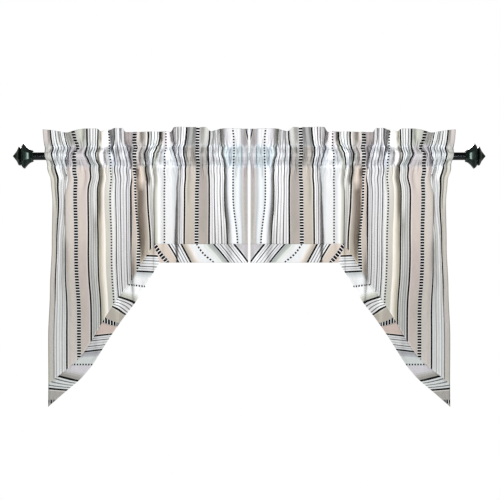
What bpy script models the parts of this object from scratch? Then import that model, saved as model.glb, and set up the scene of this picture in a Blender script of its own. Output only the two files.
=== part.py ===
"""Swag and tail drape: two gathered rod-pocket panels on a black rod with stepped finials.

Each panel is one cloth that runs down the front, folds over at the top of its header,
comes down behind the rod and ends just under the pocket. A bias border strip is sewn
along its lower edge, level at the centre and then diagonal to the tip of the tail.

Frame: origin on the rod's axis, midway along it. +Z up, +X to the right as seen from
the room, and the room is on the -Y side. Metres.
"""

import math

import bpy
import numpy as np

# Rod and finials
ROD_RADIUS = 0.0127
ROD_WALL = 0.0012
ROD_HALF = 0.7124
ROD_SIDES = 32
FIT = 0.0003
STUB_LENGTH = 0.030
FINIAL_SIDES = 8
# (distance out from the rod's end, distance from the axis to each flat), tip first
FINIAL_PROFILE = (
    (0.0680, 0.0000),
    (0.0592, 0.0100),
    (0.0532, 0.0175),
    (0.0470, 0.0300),
    (0.0432, 0.0308),
    (0.0400, 0.0258),
    (0.0380, 0.0300),
    (0.0365, 0.0330),
    (0.0306, 0.0402),
    (0.0288, 0.0404),
    (0.0185, 0.0285),
    (0.0105, 0.0222),
    (0.0050, 0.0196),
    (0.0000, 0.0186),
)

# One panel, laid flat
PANEL_WIDTH = 0.860
CLOTH = 0.0012
SEAM_GAP = 0.0008  # along the drop, before it is widened for the seam's slope
# Seam of the border strip, then its hem, from the corner of the arch to the tail's outer
# edge, as they hang: (distance out from the centre, drop below the rod). Nearer the
# centre than their first row, both run level.
SEAM_LINE = (
    (0.314, 0.290),
    (0.354, 0.349),
    (0.390, 0.411),
    (0.433, 0.466),
    (0.482, 0.542),
    (0.520, 0.608),
    (0.555, 0.661),
    (0.596, 0.698),
    (0.664, 0.752),
)
HEM_LINE = (
    (0.296, 0.351),
    (0.328, 0.403),
    (0.372, 0.478),
    (0.414, 0.531),
    (0.452, 0.586),
    (0.504, 0.668),
    (0.521, 0.695),
    (0.557, 0.736),
    (0.604, 0.775),
    (0.664, 0.8275),
)
LINE_STEPS = 120
LINE_SOFTENING = 12
# The top edge of the header: (flat place, height above the rod)
HEADER_TOP = (
    (0.000, 0.090),
    (0.110, 0.090),
    (0.168, 0.082),
    (0.186, 0.096),
    (0.296, 0.096),
    (0.318, 0.081),
    (0.502, 0.080),
    (0.526, 0.093),
    (0.590, 0.093),
    (0.648, 0.084),
    (0.668, 0.092),
    (0.706, 0.092),
    (0.765, 0.080),
    (0.860, 0.090),
)

# Pocket, between its two stitch lines
UPPER_STITCH = 0.033
LOWER_STITCH = -0.032
POCKET_SWELL = 0.0123
# Share of that swell at each height between the stitch lines: (height, share)
POCKET_ROWS = ((-0.0200, 0.66), (-0.0075, 1.03), (0.0065, 0.98), (0.0190, 0.62))
LAYER_HALF_GAP = 0.0013
BACK_END = -0.040
HEADER_ROUND = 0.0026

# The two panels all but touch on the rod, and hang a little apart elsewhere
CENTRE_GAP_HALF = 0.0040
CENTRE_GAP_ON_ROD = 0.0009

# Hung width of a panel: (height, width)
HUNG_WIDTH = (
    (0.090, 0.6755),
    (0.020, 0.6715),
    (-0.040, 0.6630),
    (-0.080, 0.6520),
    (-0.150, 0.6470),
    (-0.290, 0.6490),
    (-0.440, 0.6550),
    (-0.600, 0.6605),
    (-0.830, 0.6595),
)
# Share of their full depth that the folds have: (height, share)
FOLD_DEPTH = (
    (0.090, 0.42),
    (0.030, 0.26),
    (-0.030, 0.26),
    (-0.100, 0.42),
    (-0.200, 0.54),
    (-0.830, 0.54),
)
# Walls of the folds, from the centre edge outwards. Place and reach are in metres of flat
# cloth. Then comes how far the wall turns from the panel's plane, in degrees, at
# FOLD_HEIGHTS; walls next to each other turn opposite ways. The last two are its lean in
# the header and in the fall: 1 comes forward on the way outwards, -1 goes back.
FOLD_HEIGHTS = (0.085, 0.000, -0.145, -0.290, -0.600)
FOLDS = (
    # place, reach, header, rod, hang, centre hem, tail, header lean, fall lean
    (0.038, 0.038, -60, -60, -60, -68, -55, 1, 1),
    (0.107, 0.027, 68, 65, 69, 52, 48, -1, -1),
    (0.294, 0.025, -57, -74, -83, -82, -78, -1, -1),
    (0.334, 0.026, 61, 52, 37, 39, 55, 1, 1),
    (0.379, 0.022, -71, -66, -60, -62, -70, 0.5, 0.8),
    (0.412, 0.024, 56, 46, 71, 79, 80, -0.5, -0.3),
    (0.454, 0.021, -16, -28, -16, -16, -42, -1, -1),
    (0.505, 0.026, 70, 81, 74, 65, 82, -1, -0.7),
    (0.588, 0.032, -80, -80, -79, -81, -82, -1, 1),
    (0.669, 0.032, 42, 42, 41, 33, 35, 1, -1),
    (0.788, 0.031, -51, -60, -75, -54, -18, -1, -0.7),
    (0.833, 0.022, 29, 25, 63, 80, 66, -0.1, -0.1),
)
# The lean changes over between these two heights
HEADER_LEAN_FROM = 0.034
FALL_LEAN_FROM = -0.020
FLAT_TOP = 0.35
PLAN_STEP = 0.002
PLAN_HEIGHTS = np.linspace(0.10, -0.84, 95)

# Facets
COLUMNS = 43
CALM = 4.0
STRIP_ROWS = 2
FALL_ROWS = (0.00, 0.11, 0.27, 0.45, 0.63, 0.82, 1.00)
FALL_START = -0.045


def smooth_between(table, at):
    """Value of a two-column table at `at`, eased from each row to the next."""
    rows = sorted(table)
    places = np.array([row[0] for row in rows])
    values = np.array([row[1] for row in rows])
    at = np.clip(np.asarray(at, float), places[0], places[-1])
    row = np.clip(np.searchsorted(places, at, side="right") - 1, 0, len(rows) - 2)
    share = (at - places[row]) / (places[row + 1] - places[row])
    share = share * share * (3 - 2 * share)
    return values[row] + share * (values[row + 1] - values[row])


def wall_shape(flat, place, reach):
    """1 along the middle of a fold's wall, falling smoothly to 0 at both of its ends."""
    off = np.clip((np.abs(flat - place) / reach - FLAT_TOP) / (1 - FLAT_TOP), 0, 1)
    return 0.5 * (1 + np.cos(math.pi * off))


def walls_at(flat, height):
    """Angle of the cloth to the panel's plane at one height, and its lean, along the flat places."""
    turn = np.zeros_like(flat)
    lean = np.zeros_like(flat)
    weight = np.full_like(flat, 1e-6)
    in_header = float(np.interp(height, (FALL_LEAN_FROM, HEADER_LEAN_FROM), (0, 1)))
    for place, reach, *degrees, header_lean, fall_lean in FOLDS:
        strength = smooth_between(list(zip(FOLD_HEIGHTS, degrees)), height)
        own = math.radians(float(strength)) * wall_shape(flat, place, reach)
        turn += own
        lean += np.abs(own) * (in_header * header_lean + (1 - in_header) * fall_lean)
        weight += np.abs(own)
    return turn, lean / weight


def running_sum(values):
    """Running integral along the flat cloth, from the centre edge."""
    steps = 0.5 * (values[1:] + values[:-1]) * PLAN_STEP
    return np.concatenate([[0.0], np.cumsum(steps)])


def plan_at(flat, height):
    """Plan curve of the panel at one height: outward place, and forward place about its mean."""
    target = float(smooth_between(HUNG_WIDTH, height))
    turn, lean = walls_at(flat, height)
    low, high = 0.5, 1.5
    for _ in range(40):
        scale = 0.5 * (low + high)
        if running_sum(np.cos(scale * turn))[-1] > target:
            low = scale
        else:
            high = scale
    out = running_sum(np.cos(scale * turn))
    forward = running_sum(np.sin(scale * np.abs(turn)) * lean)
    return out, (forward - forward.mean()) * float(smooth_between(FOLD_DEPTH, height))


class Hang:
    """The hung shape of a panel: where each point of the flat cloth is, at any height."""

    def __init__(self):
        """Work out the plan curves at PLAN_HEIGHTS."""
        self.flat = np.arange(0, PANEL_WIDTH + PLAN_STEP / 2, PLAN_STEP)
        curves = [plan_at(self.flat, height) for height in PLAN_HEIGHTS]
        self.out = np.array([curve[0] for curve in curves])
        self.forward = np.array([curve[1] for curve in curves])

    def read(self, field, place, height):
        """Value of a field at a flat place and a height, interpolated both ways."""
        row = (PLAN_HEIGHTS[0] - height) / (PLAN_HEIGHTS[0] - PLAN_HEIGHTS[1])
        upper = int(min(max(math.floor(row), 0), len(PLAN_HEIGHTS) - 2))
        share = row - upper
        above = np.interp(place, self.flat, field[upper])
        below = np.interp(place, self.flat, field[upper + 1])
        return (1 - share) * above + share * below

    def flat_place(self, out, height):
        """Flat place of the cloth that hangs at a distance out from the centre."""
        row = int(np.argmin(np.abs(PLAN_HEIGHTS - height)))
        return float(np.interp(out - centre_gap(height), self.out[row], self.flat))

    def drop_to(self, line, place):
        """Drop at which the cloth at a flat place meets a hung line."""
        outs, drops = line
        drop = drops[0]
        for _ in range(12):
            out = centre_gap(-drop) + self.read(self.out, place, -drop)
            drop = float(np.interp(out, outs, drops))
        return drop

    def point(self, place, height, layer, swell):
        """Hung position of one point of the cloth.

        layer is 1 for the front layer, -1 for the back one and 0 where there is only one.
        swell runs from 0 at a stitch line to about 1 where the cloth bears on the rod.
        """
        out = self.read(self.out, place, height)
        forward = self.read(self.forward, place, height)
        step = PLAN_STEP
        along = np.array([
            self.read(self.out, place + step, height) - self.read(self.out, place - step, height),
            self.read(self.forward, place + step, height)
            - self.read(self.forward, place - step, height),
        ])
        along /= np.linalg.norm(along)
        out -= layer * LAYER_HALF_GAP * along[1]
        forward += layer * LAYER_HALF_GAP * along[0]
        if swell:
            row = self.forward[int(np.argmin(np.abs(PLAN_HEIGHTS - height)))]
            reach = -row.min() if layer > 0 else row.max()
            forward += layer * swell * (POCKET_SWELL + reach)
        return centre_gap(height) + out, forward, height


def centre_gap(height):
    """Half the gap between the two panels' centre edges at a height."""
    on_rod = math.exp(-((height / (1.1 * UPPER_STITCH)) ** 4))
    return CENTRE_GAP_HALF + (CENTRE_GAP_ON_ROD - CENTRE_GAP_HALF) * on_rod


def column_places():
    """Flat places of the mesh's columns, close together where the cloth bends."""
    flat = np.arange(0, PANEL_WIDTH + PLAN_STEP / 2, PLAN_STEP)
    turn, _ = walls_at(flat, FOLD_HEIGHTS[2])
    bend = np.abs(np.gradient(turn, PLAN_STEP))
    crowd = running_sum(CALM + np.convolve(bend, np.ones(5) / 5, mode="same"))
    return np.interp(np.linspace(0, crowd[-1], COLUMNS + 1), crowd, flat)


def softened(line):
    """A hung line resampled finely between its ends, with its corners eased."""
    table = np.array(line)
    outs = np.linspace(table[0, 0], table[-1, 0], LINE_STEPS)
    drops = np.interp(outs, table[:, 0], table[:, 1])
    for _ in range(LINE_SOFTENING):
        drops[1:-1] = 0.25 * drops[:-2] + 0.5 * drops[1:-1] + 0.25 * drops[2:]
    return outs, drops


def hem_and_seam(hang, places):
    """Drop of the seam at each column, and the hem point below it as (flat place, drop)."""
    seam_line = softened(SEAM_LINE)
    hem_line = softened(HEM_LINE)
    seam_corner = hang.flat_place(SEAM_LINE[0][0], -SEAM_LINE[0][1])
    hem_corner = hang.flat_place(HEM_LINE[0][0], -HEM_LINE[0][1])
    seam_drops = np.array([hang.drop_to(seam_line, place) for place in places])
    past_corner = (places - seam_corner) / (PANEL_WIDTH - seam_corner)
    hem_places = np.where(
        places < seam_corner,
        places * hem_corner / seam_corner,
        hem_corner + past_corner * (PANEL_WIDTH - hem_corner),
    )
    hem_drops = np.array([hang.drop_to(hem_line, place) for place in hem_places])
    return seam_drops, hem_places, hem_drops


def section_rows(top, seam_drop):
    """Rows of one column of the main cloth, up the back, over the header and down the front.

    Each row is (height, layer, swell).
    """
    rise = top - HEADER_ROUND
    half_up = 0.5 * (UPPER_STITCH + rise)
    back = [
        (BACK_END, -1, 0.0),
        (LOWER_STITCH, -1, 0.0),
        *((height, -1, share) for height, share in POCKET_ROWS),
        (UPPER_STITCH, -1, 0.0),
        (half_up, -1, 0.0),
        (rise, -1, 0.0),
    ]
    front = [(height, 1, swell) for height, _, swell in reversed(back[1:])]
    fall = [
        (FALL_START + share * (-seam_drop - FALL_START), max(0.0, 1 - 3 * share), 0.0)
        for share in FALL_ROWS
    ]
    return back + [(top, 0, 0.0)] + front + fall


def sheet_object(name, points, material, collection):
    """A cloth sheet: a grid bent to `points` (columns, rows, 3), with its thickness."""
    columns, rows = points.shape[:2]
    bpy.ops.mesh.primitive_grid_add(
        x_subdivisions=columns - 1, y_subdivisions=rows - 1, size=1
    )
    obj = bpy.context.active_object
    obj.name = name
    obj.data.name = name
    for vertex in obj.data.vertices:
        column = round((vertex.co.x + 0.5) * (columns - 1))
        row = round((vertex.co.y + 0.5) * (rows - 1))
        vertex.co = points[column, row]
    solidify = obj.modifiers.new("cloth thickness", "SOLIDIFY")
    solidify.thickness = CLOTH
    solidify.offset = 0
    solidify.use_even_offset = False
    finish(obj, material, collection)


def panel(side, hang, material, strip_material, collection):
    """One panel and its border strip; side is 1 for the right-hand one, -1 for the left."""
    name = "right" if side > 0 else "left"
    places = column_places()
    tops = smooth_between(HEADER_TOP, places)
    seam_drops, hem_places, hem_drops = hem_and_seam(hang, places)

    def world(spot):
        out, forward, height = spot
        return (side * out, -forward, height)

    main = [
        [world(hang.point(place, *row)) for row in section_rows(top, drop)]
        for place, top, drop in zip(places, tops, seam_drops)
    ]
    gaps = SEAM_GAP * np.hypot(1, np.gradient(seam_drops, places))
    strip = []
    for place, seam, hem_place, hem in zip(places, seam_drops + gaps, hem_places, hem_drops):
        column = []
        for share in np.linspace(0, 1, STRIP_ROWS + 1):
            across = place + share * (hem_place - place)
            down = seam + share * (hem - seam)
            column.append(world(hang.point(across, -down, 0, 0.0)))
        strip.append(column)
    sheet_object(f"drape_{name}", np.array(main), material, collection)
    sheet_object(f"border_{name}", np.array(strip), strip_material, collection)


def turned(name, profile, sides, start_angle):
    """A turned solid about Z from (height, radius) points, listed from the top down."""
    mesh = bpy.data.meshes.new(name)
    corner = (math.cos(start_angle), math.sin(start_angle))
    points = [(r * corner[0], r * corner[1], z) for z, r in profile]
    edges = [(i, i + 1) for i in range(len(points) - 1)]
    mesh.from_pydata(points, edges, [])
    obj = bpy.data.objects.new(name, mesh)
    screw = obj.modifiers.new("turned", "SCREW")
    screw.steps = sides
    screw.render_steps = sides
    screw.use_merge_vertices = True
    screw.merge_threshold = 0.00001
    return obj


def rod(material, collection):
    """The round tube that carries both panels."""
    inner = ROD_RADIUS - ROD_WALL
    profile = (
        (ROD_HALF, inner),
        (ROD_HALF, ROD_RADIUS),
        (-ROD_HALF, ROD_RADIUS),
        (-ROD_HALF, inner),
    )
    obj = turned("rod", profile, ROD_SIDES, 0.0)
    obj.data.edges.add(1)
    obj.data.edges[-1].vertices = (len(profile) - 1, 0)
    obj.rotation_euler = (0, math.pi / 2, 0)
    finish(obj, material, collection)


def finial(side, material, collection):
    """A stepped eight-sided finial, with the stub that plugs into the rod's end."""
    to_corner = 1 / math.cos(math.pi / FINIAL_SIDES)
    stub = ROD_RADIUS - ROD_WALL - 2 * FIT
    profile = [(out, flat * to_corner) for out, flat in FINIAL_PROFILE]
    profile += [(0.0, stub), (-STUB_LENGTH, stub), (-STUB_LENGTH, 0.0)]
    name = "finial_right" if side > 0 else "finial_left"
    obj = turned(name, profile, FINIAL_SIDES, math.pi / FINIAL_SIDES)
    obj.rotation_euler = (0, side * math.pi / 2, 0)
    obj.location = (side * (ROD_HALF + FIT), 0, 0)
    finish(obj, material, collection)


def principled(name, colour, roughness, metallic):
    """A material with one Principled BSDF."""
    material = bpy.data.materials.new(name)
    material.use_nodes = True
    shader = material.node_tree.nodes["Principled BSDF"]
    shader.inputs["Base Color"].default_value = (*colour, 1)
    shader.inputs["Roughness"].default_value = roughness
    shader.inputs["Metallic"].default_value = metallic
    return material


def finish(obj, material, collection):
    """Give an object its material and move it to the part's collection."""
    obj.data.materials.append(material)
    for other in list(obj.users_collection):
        other.objects.unlink(obj)
    collection.objects.link(obj)


def main():
    """Clear the scene and build the drape, its rod and its finials."""
    for obj in list(bpy.data.objects):
        bpy.data.objects.remove(obj, do_unlink=True)
    collection = bpy.data.collections.new("swag and tail drape on rod")
    bpy.context.scene.collection.children.link(collection)
    stripe = principled("striped cotton", (0.78, 0.76, 0.74), 0.9, 0.0)
    bias = principled("striped cotton on the bias", (0.74, 0.73, 0.71), 0.9, 0.0)
    black = principled("gloss black metal", (0.012, 0.014, 0.014), 0.3, 0.9)
    dark_green = principled("dark green metal", (0.010, 0.028, 0.024), 0.35, 0.9)
    hang = Hang()
    for side in (1, -1):
        panel(side, hang, stripe, bias, collection)
        finial(side, dark_green, collection)
    rod(black, collection)


main()
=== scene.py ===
"""Looks of a swag and tail drape on its rod.

Two gathered panels of striped cotton hang on a black rod. Each has a border cut on the
bias along its lower edge. The cloth, its sewing, the rod and the octagonal finials are
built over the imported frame. Metres, +Z up, the room on the -Y side and +X to the right.
"""

import logging
import math
from dataclasses import dataclass, field
from enum import Enum
from typing import Callable, NamedTuple, Sequence

import bmesh
import bpy
import numpy as np
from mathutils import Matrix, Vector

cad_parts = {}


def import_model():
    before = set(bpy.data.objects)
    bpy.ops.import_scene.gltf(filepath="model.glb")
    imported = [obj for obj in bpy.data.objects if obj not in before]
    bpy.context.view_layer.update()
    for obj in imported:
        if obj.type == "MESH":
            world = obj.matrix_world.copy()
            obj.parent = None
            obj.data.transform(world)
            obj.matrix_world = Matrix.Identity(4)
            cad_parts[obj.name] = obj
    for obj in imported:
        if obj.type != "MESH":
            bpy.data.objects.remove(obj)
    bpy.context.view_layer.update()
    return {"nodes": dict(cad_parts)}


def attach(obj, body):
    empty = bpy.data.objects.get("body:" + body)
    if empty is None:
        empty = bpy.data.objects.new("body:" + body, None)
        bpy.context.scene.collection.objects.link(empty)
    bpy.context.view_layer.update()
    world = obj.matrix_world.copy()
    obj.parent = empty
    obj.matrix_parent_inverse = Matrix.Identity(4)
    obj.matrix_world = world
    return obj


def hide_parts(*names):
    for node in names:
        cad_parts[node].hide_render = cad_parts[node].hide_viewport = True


logging.basicConfig(level=logging.INFO, format="%(name)s: %(message)s")
LOG = logging.getLogger("drape")

MM = 0.001
BODY = "root"

# The rod, and the heights of its pocket's two stitch lines above the rod's axis
ROD_RADIUS = 0.0127
ROD_HALF = 0.7124
UPPER_STITCH = 0.033
LOWER_STITCH = -0.032

Grid = np.ndarray
Line = tuple[Grid, Grid]
Piece = bpy.types.Object
Finish = bpy.types.Material
Socket = bpy.types.NodeSocket
Colour = tuple[float, float, float]
Spot = tuple[float, float, float]
Table = Sequence[tuple[float, ...]]
Tints = Sequence[tuple[int, ...]]


class Side(Enum):
    """Which of the two drapes, and the sign of its X."""

    LEFT = -1
    RIGHT = 1

    @property
    def word(self) -> str:
        """Plain name of the side."""
        return self.name.lower()


class StripeLayout(Enum):
    """Order of the stripes on a cloth."""

    PANEL = "panel"
    BORDER = "border"


def linear(red: float, green: float, blue: float) -> Colour:
    """Turn a display colour of 0 to 255 into linear light.

    Args:
        red: Red channel.
        green: Green channel.
        blue: Blue channel.

    Returns:
        The three channels in linear light, from 0 to 1.
    """
    channels = [c / 255 for c in (red, green, blue)]
    light = [c / 12.92 if c <= 0.04045 else ((c + 0.055) / 1.055) ** 2.4 for c in channels]
    return (light[0], light[1], light[2])


def grey(level: float) -> Colour:
    """Neutral colour of a display level."""
    return linear(level, level, level)


# --- nodes ---


def operator(operation: str, turned: bool = False) -> Callable[["Value", "Value | float"], "Value"]:
    """Make an operator of Value.

    Args:
        operation: Operation of the Math node that it adds.
        turned: Whether the other operand comes first.

    Returns:
        The method.
    """

    def method(value: "Value", other: "Value | float") -> "Value":
        """Value of the operation on two operands."""
        return value.recipe.maths(operation, *((other, value) if turned else (value, other)))

    return method


class Value:
    """A number that varies over a surface, held as a socket of a shader tree."""

    def __init__(self, recipe: "Recipe", socket: Socket) -> None:
        """Wrap an output socket of a recipe's tree."""
        self.recipe = recipe
        self.socket = socket

    __add__ = __radd__ = operator("ADD")
    __sub__ = operator("SUBTRACT")
    __rsub__ = operator("SUBTRACT", turned=True)
    __mul__ = __rmul__ = operator("MULTIPLY")
    __truediv__ = operator("DIVIDE")
    # 1 where the comparison is true, else 0
    __gt__ = operator("GREATER_THAN")
    __lt__ = operator("LESS_THAN")
    # Remainder in repeats of a length, never below 0
    cycle = operator("FLOORED_MODULO")

    def __abs__(self) -> "Value":
        """Size of the value without its sign."""
        return self.recipe.maths("ABSOLUTE", self)

    def sine(self) -> "Value":
        """Sine of the value, which is in radians."""
        return self.recipe.maths("SINE", self)


class NodeTree:
    """A tree of nodes, and the one way in which nodes are added to it."""

    def __init__(self, tree: bpy.types.NodeTree) -> None:
        """Work on a tree."""
        self.tree = tree

    def node(self, kind: str, settings: dict | None = None, sockets: dict | None = None) -> bpy.types.Node:
        """Add a node.

        Args:
            kind: The node's type.
            settings: Its properties by name, with a ramp's way and stops under "stops".
            sockets: Values or links of its input sockets by identifier.

        Returns:
            The new node.
        """
        node = self.tree.nodes.new(kind)
        for name, setting in (settings or {}).items():
            if name != "stops":
                setattr(node, name, setting)
                continue
            ramp = node.color_ramp
            ramp.interpolation, stops = setting
            while len(ramp.elements) < len(stops):
                ramp.elements.new(1.0)
            for element, (place, colour) in zip(ramp.elements, stops):
                element.position = place
                element.color = (*colour, 1.0)
        for identifier, value in (sockets or {}).items():
            self.feed(next(s for s in node.inputs if s.identifier == identifier), value)
        return node

    def feed(self, socket: Socket, value: object) -> None:
        """Link a socket to what feeds it, or set it.

        Args:
            socket: The input socket.
            value: A Value, another socket, a number, a colour or a material.
        """
        source = value.socket if isinstance(value, Value) else value
        if isinstance(source, Socket):
            self.tree.links.new(source, socket)
        elif isinstance(source, tuple) and socket.type == "RGBA":
            socket.default_value = (*source, 1.0)
        else:
            socket.default_value = source


class Recipe(NodeTree):
    """One material's shader tree and the few kinds of nodes that the finishes share."""

    def __init__(self, name: str) -> None:
        """Start a material with its Principled shader.

        Args:
            name: Name of the material.
        """
        self.material = bpy.data.materials.new(name)
        self.material.use_nodes = True
        super().__init__(self.material.node_tree)
        self.shader = self.tree.nodes["Principled BSDF"]

    def dress(self, inputs: dict[str, object]) -> None:
        """Feed the shader's inputs by name."""
        for name, value in inputs.items():
            self.feed(self.shader.inputs[name], value)

    def maths(self, operation: str, *operands: "Value | float") -> Value:
        """Value of a Math node on one or two operands."""
        sockets = dict(zip(("Value", "Value_001"), operands))
        return Value(self, self.node("ShaderNodeMath", {"operation": operation}, sockets).outputs[0])

    def mixed(self, share: "Value | float", first: object, second: object, way: str = "MIX") -> Socket:
        """Mix two colours.

        Args:
            share: Share of the second colour, or of the blend's effect.
            first: First colour.
            second: Second colour.
            way: Blend type of the Mix node.

        Returns:
            The mixed colour's socket.
        """
        settings = {"data_type": "RGBA", "blend_type": way}
        sockets = {"Factor_Float": share, "A_Color": first, "B_Color": second}
        node = self.node("ShaderNodeMix", settings, sockets)
        return next(s for s in node.outputs if s.identifier == "Result_Color")

    def shaded(self, colour: object, shade: Value) -> Socket:
        """Colour with all three channels multiplied by a value."""
        return self.mixed(1.0, colour, self.grey(shade), "MULTIPLY")

    def grey(self, value: Value) -> Socket:
        """Colour with all three channels at a value."""
        sockets = {"Red": value, "Green": value, "Blue": value}
        return self.node("ShaderNodeCombineColor", {}, sockets).outputs[0]

    def ramp(self, place: Value, stops: Sequence[tuple[float, Colour]], way: str = "CONSTANT") -> Socket:
        """Colour read from a ramp at a place from 0 to 1."""
        return self.node("ShaderNodeValToRGB", {"stops": (way, stops)}, {"Fac": place}).outputs["Color"]

    def fade(self, place: Value, stops: Table) -> Value:
        """Share read at a place from 0 to 1, from straight runs between (place, display level)."""
        return Value(self, self.ramp(place, [(at, grey(level)) for at, level in stops], "LINEAR"))

    def noise(self, vector: object, scale: float, detail: float = 2.0) -> Value:
        """Noise from 0 to 1 at a vector."""
        sockets = {"Vector": vector, "Scale": scale, "Detail": detail}
        return Value(self, self.node("ShaderNodeTexNoise", {"noise_dimensions": "3D"}, sockets).outputs[0])

    def here(self) -> Socket:
        """Place on the piece in its own coordinates."""
        return self.node("ShaderNodeTexCoord").outputs["Object"]

    def vector(self, along: "Value | float", across: "Value | float", third: float = 0.0) -> Socket:
        """Vector of three values."""
        return self.node("ShaderNodeCombineXYZ", {}, {"X": along, "Y": across, "Z": third}).outputs[0]

    def bump(self, height: Value, depth: float, strength: float = 1.0, over: Socket | None = None) -> Socket:
        """Normal of a height field.

        Args:
            height: Height from 0 to 1.
            depth: What 1 stands for, in metres.
            strength: Share of the effect.
            over: Normal that this one is laid over.

        Returns:
            The normal's socket.
        """
        sockets = {"Height": height, "Distance": depth, "Strength": strength}
        if over is not None:
            sockets["Normal"] = over
        return self.node("ShaderNodeBump", {}, sockets).outputs[0]


# --- finishes ---

BLACK = linear(9, 9, 11)
WHITE = linear(240, 240, 240)
TAUPE = linear(214, 207, 201)
PALE_LINE = linear(232, 229, 225)
# Plain light grey that the lines on some fold walls are washed towards: painted light
FOLD_WASH_TONE = grey(208)


class Band(NamedTuple):
    """One band of the stripe repeat: where it starts, its width, and its runs of colour.

    Each run is (start within the band, colour), in millimetres.
    """

    start: float
    width: float
    runs: Sequence[tuple[float, Colour]]


# The black line along each edge of a lined band
EDGE_LINE = 5.8


def lined_band(start: float, width: float, lines: Table) -> Band:
    """White band with a black line along each edge and grey lines between them.

    Args:
        start: Where the band starts in the repeat.
        width: Width of the band.
        lines: Rows of (start within the band, width, display level).

    Returns:
        The band.
    """
    runs = [(0.0, BLACK), (EDGE_LINE, WHITE)]
    for first, wide, level in lines:
        runs += [(first, grey(level)), (first + wide, WHITE)]
    return Band(start, width, [*runs, (width - EDGE_LINE, BLACK)])


# The stripe repeat, outwards from the centre of the window, in millimetres of flat cloth
REPEAT = 264.0
WHITE_LINES = ((10.4, 3.0, 188), (17.8, 3.2, 98), (27.4, 3.2, 138), (37.0, 3.2, 98), (44.8, 3.0, 188))
NARROW_LINES = ((10.4, 3.0, 112), (19.4, 3.0, 140), (28.6, 3.0, 112))
# The dotted band greys towards its edges: partly its print, and partly painted shade of the folds that fall
# along its edges
DOT_RUNS = (
    (0.0, linear(198, 201, 202)),
    (7.0, linear(215, 218, 219)),
    (13.0, linear(229, 231, 232)),
    (18.0, WHITE),
    (69.0, linear(226, 227, 222)),
    (74.0, linear(206, 206, 198)),
    (80.0, linear(184, 184, 174)),
)
LADDER_BAND = Band(188.0, 76.0, ((0.0, PALE_LINE), (3.2, TAUPE), (72.8, PALE_LINE)))
BANDS = (
    lined_band(0.0, 58.0, WHITE_LINES),
    Band(58.0, 88.0, DOT_RUNS),
    lined_band(146.0, 42.0, NARROW_LINES),
    LADDER_BAND,
)


class Figure(NamedTuple):
    """A row of marks woven over the stripes, in millimetres.

    Its middle in the repeat, its half width, its pitch, the filled share of the pitch, and
    the colour of the marks.
    """

    middle: float
    half: float
    pitch: float
    share: float
    tone: Colour


LADDER = Figure(226.0, 6.3, 9.4, 0.73, BLACK)
DOTS = Figure(102.0, 2.8, 9.4, 0.55, linear(22, 30, 32))
DOTTED = Figure(29.0, 2.0, 2.6, 0.45, grey(222))

PANEL_WIDTH = 860.0
PANEL_LENGTH = 984.0
PANEL_START = 190.0
BORDER_START = 250.0
# Steps that turn a place on the panel, from its centre edge, into a place in the repeat:
# (place that is passed, step)
PANEL_STEPS = (
    (28.0, -160.0), (116.0, -146.0), (174.0, 130.0), (250.0, -264.0), (514.0, -264.0),
    (778.0, -264.0), (836.0, 132.0),
)
# Each stripe's tint: partly the dye's own, and partly painted shade and painted light that stand in
# for the shading of the folds: (place that is passed, its red, green and blue in hundredths).
# First the whole panel's, then what the header and the pocket add across it, and the drift down the cloth
PANEL_TINTS_AND_SHADING = (
    (0, 64, 67, 71), (28, 70, 72, 74), (72, 93, 95, 101), (116, 96, 95, 97), (174, 67, 67, 68),
    (212, 79, 78, 77), (250, 92, 90, 92), (308, 80, 80, 81), (372, 90, 90, 90), (396, 100, 99, 96),
    (438, 80, 80, 76), (450, 100, 95, 89), (482, 74, 72, 72), (502, 100, 98, 99),
    (514, 84, 83, 85), (572, 76, 76, 74), (618, 74, 72, 66), (634, 120, 112, 104),
    (660, 91, 91, 89), (702, 98, 96, 98), (740, 106, 107, 112), (778, 116, 117, 117),
    (836, 95, 99, 101),
)
# The header's: painted shade and painted light of its gathers
HEADER_PAINTED_SHADING = (
    (0, 79, 76, 81), (28, 110, 106, 104), (72, 92, 88, 86), (116, 72, 72, 71),
    (174, 118, 128, 134), (212, 62, 70, 76), (250, 100, 100, 100), (308, 111, 104, 104),
    (378, 80, 75, 72), (396, 96, 99, 101), (438, 100, 102, 111), (450, 91, 98, 108),
    (476, 84, 88, 100), (482, 82, 83, 91), (502, 72, 72, 80), (514, 105, 105, 105),
    (572, 134, 135, 142), (634, 100, 104, 110), (660, 94, 94, 96), (702, 86, 97, 96),
    (740, 83, 91, 89), (778, 86, 86, 86), (836, 90, 88, 92),
)
# The pocket's: painted cool light on its puffs and painted shade in its pinches
POCKET_PAINTED_SHADING = (
    (0, 122, 127, 130), (28, 86, 90, 88), (116, 97, 96, 94), (174, 89, 91, 90),
    (250, 102, 102, 102), (308, 122, 120, 118), (396, 112, 113, 116), (438, 84, 88, 95),
    (514, 115, 113, 112), (572, 112, 112, 120), (660, 100, 100, 100), (702, 90, 93, 98),
    (778, 100, 100, 100),
)
# Down the cloth, by distance below the rod's axis: a painted cool light over the pocket, and painted shade
# that darkens the fall towards the hem
DOWN_PAINTED_SHADING = (
    (-46, 100, 100, 100), (-34, 98, 102, 107), (30, 98, 102, 107), (46, 100, 100, 100),
    (90, 100, 100, 100), (276, 94, 93, 92), (410, 85, 85, 84), (500, 82, 83, 82),
    (984, 86, 88, 87),
)
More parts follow.
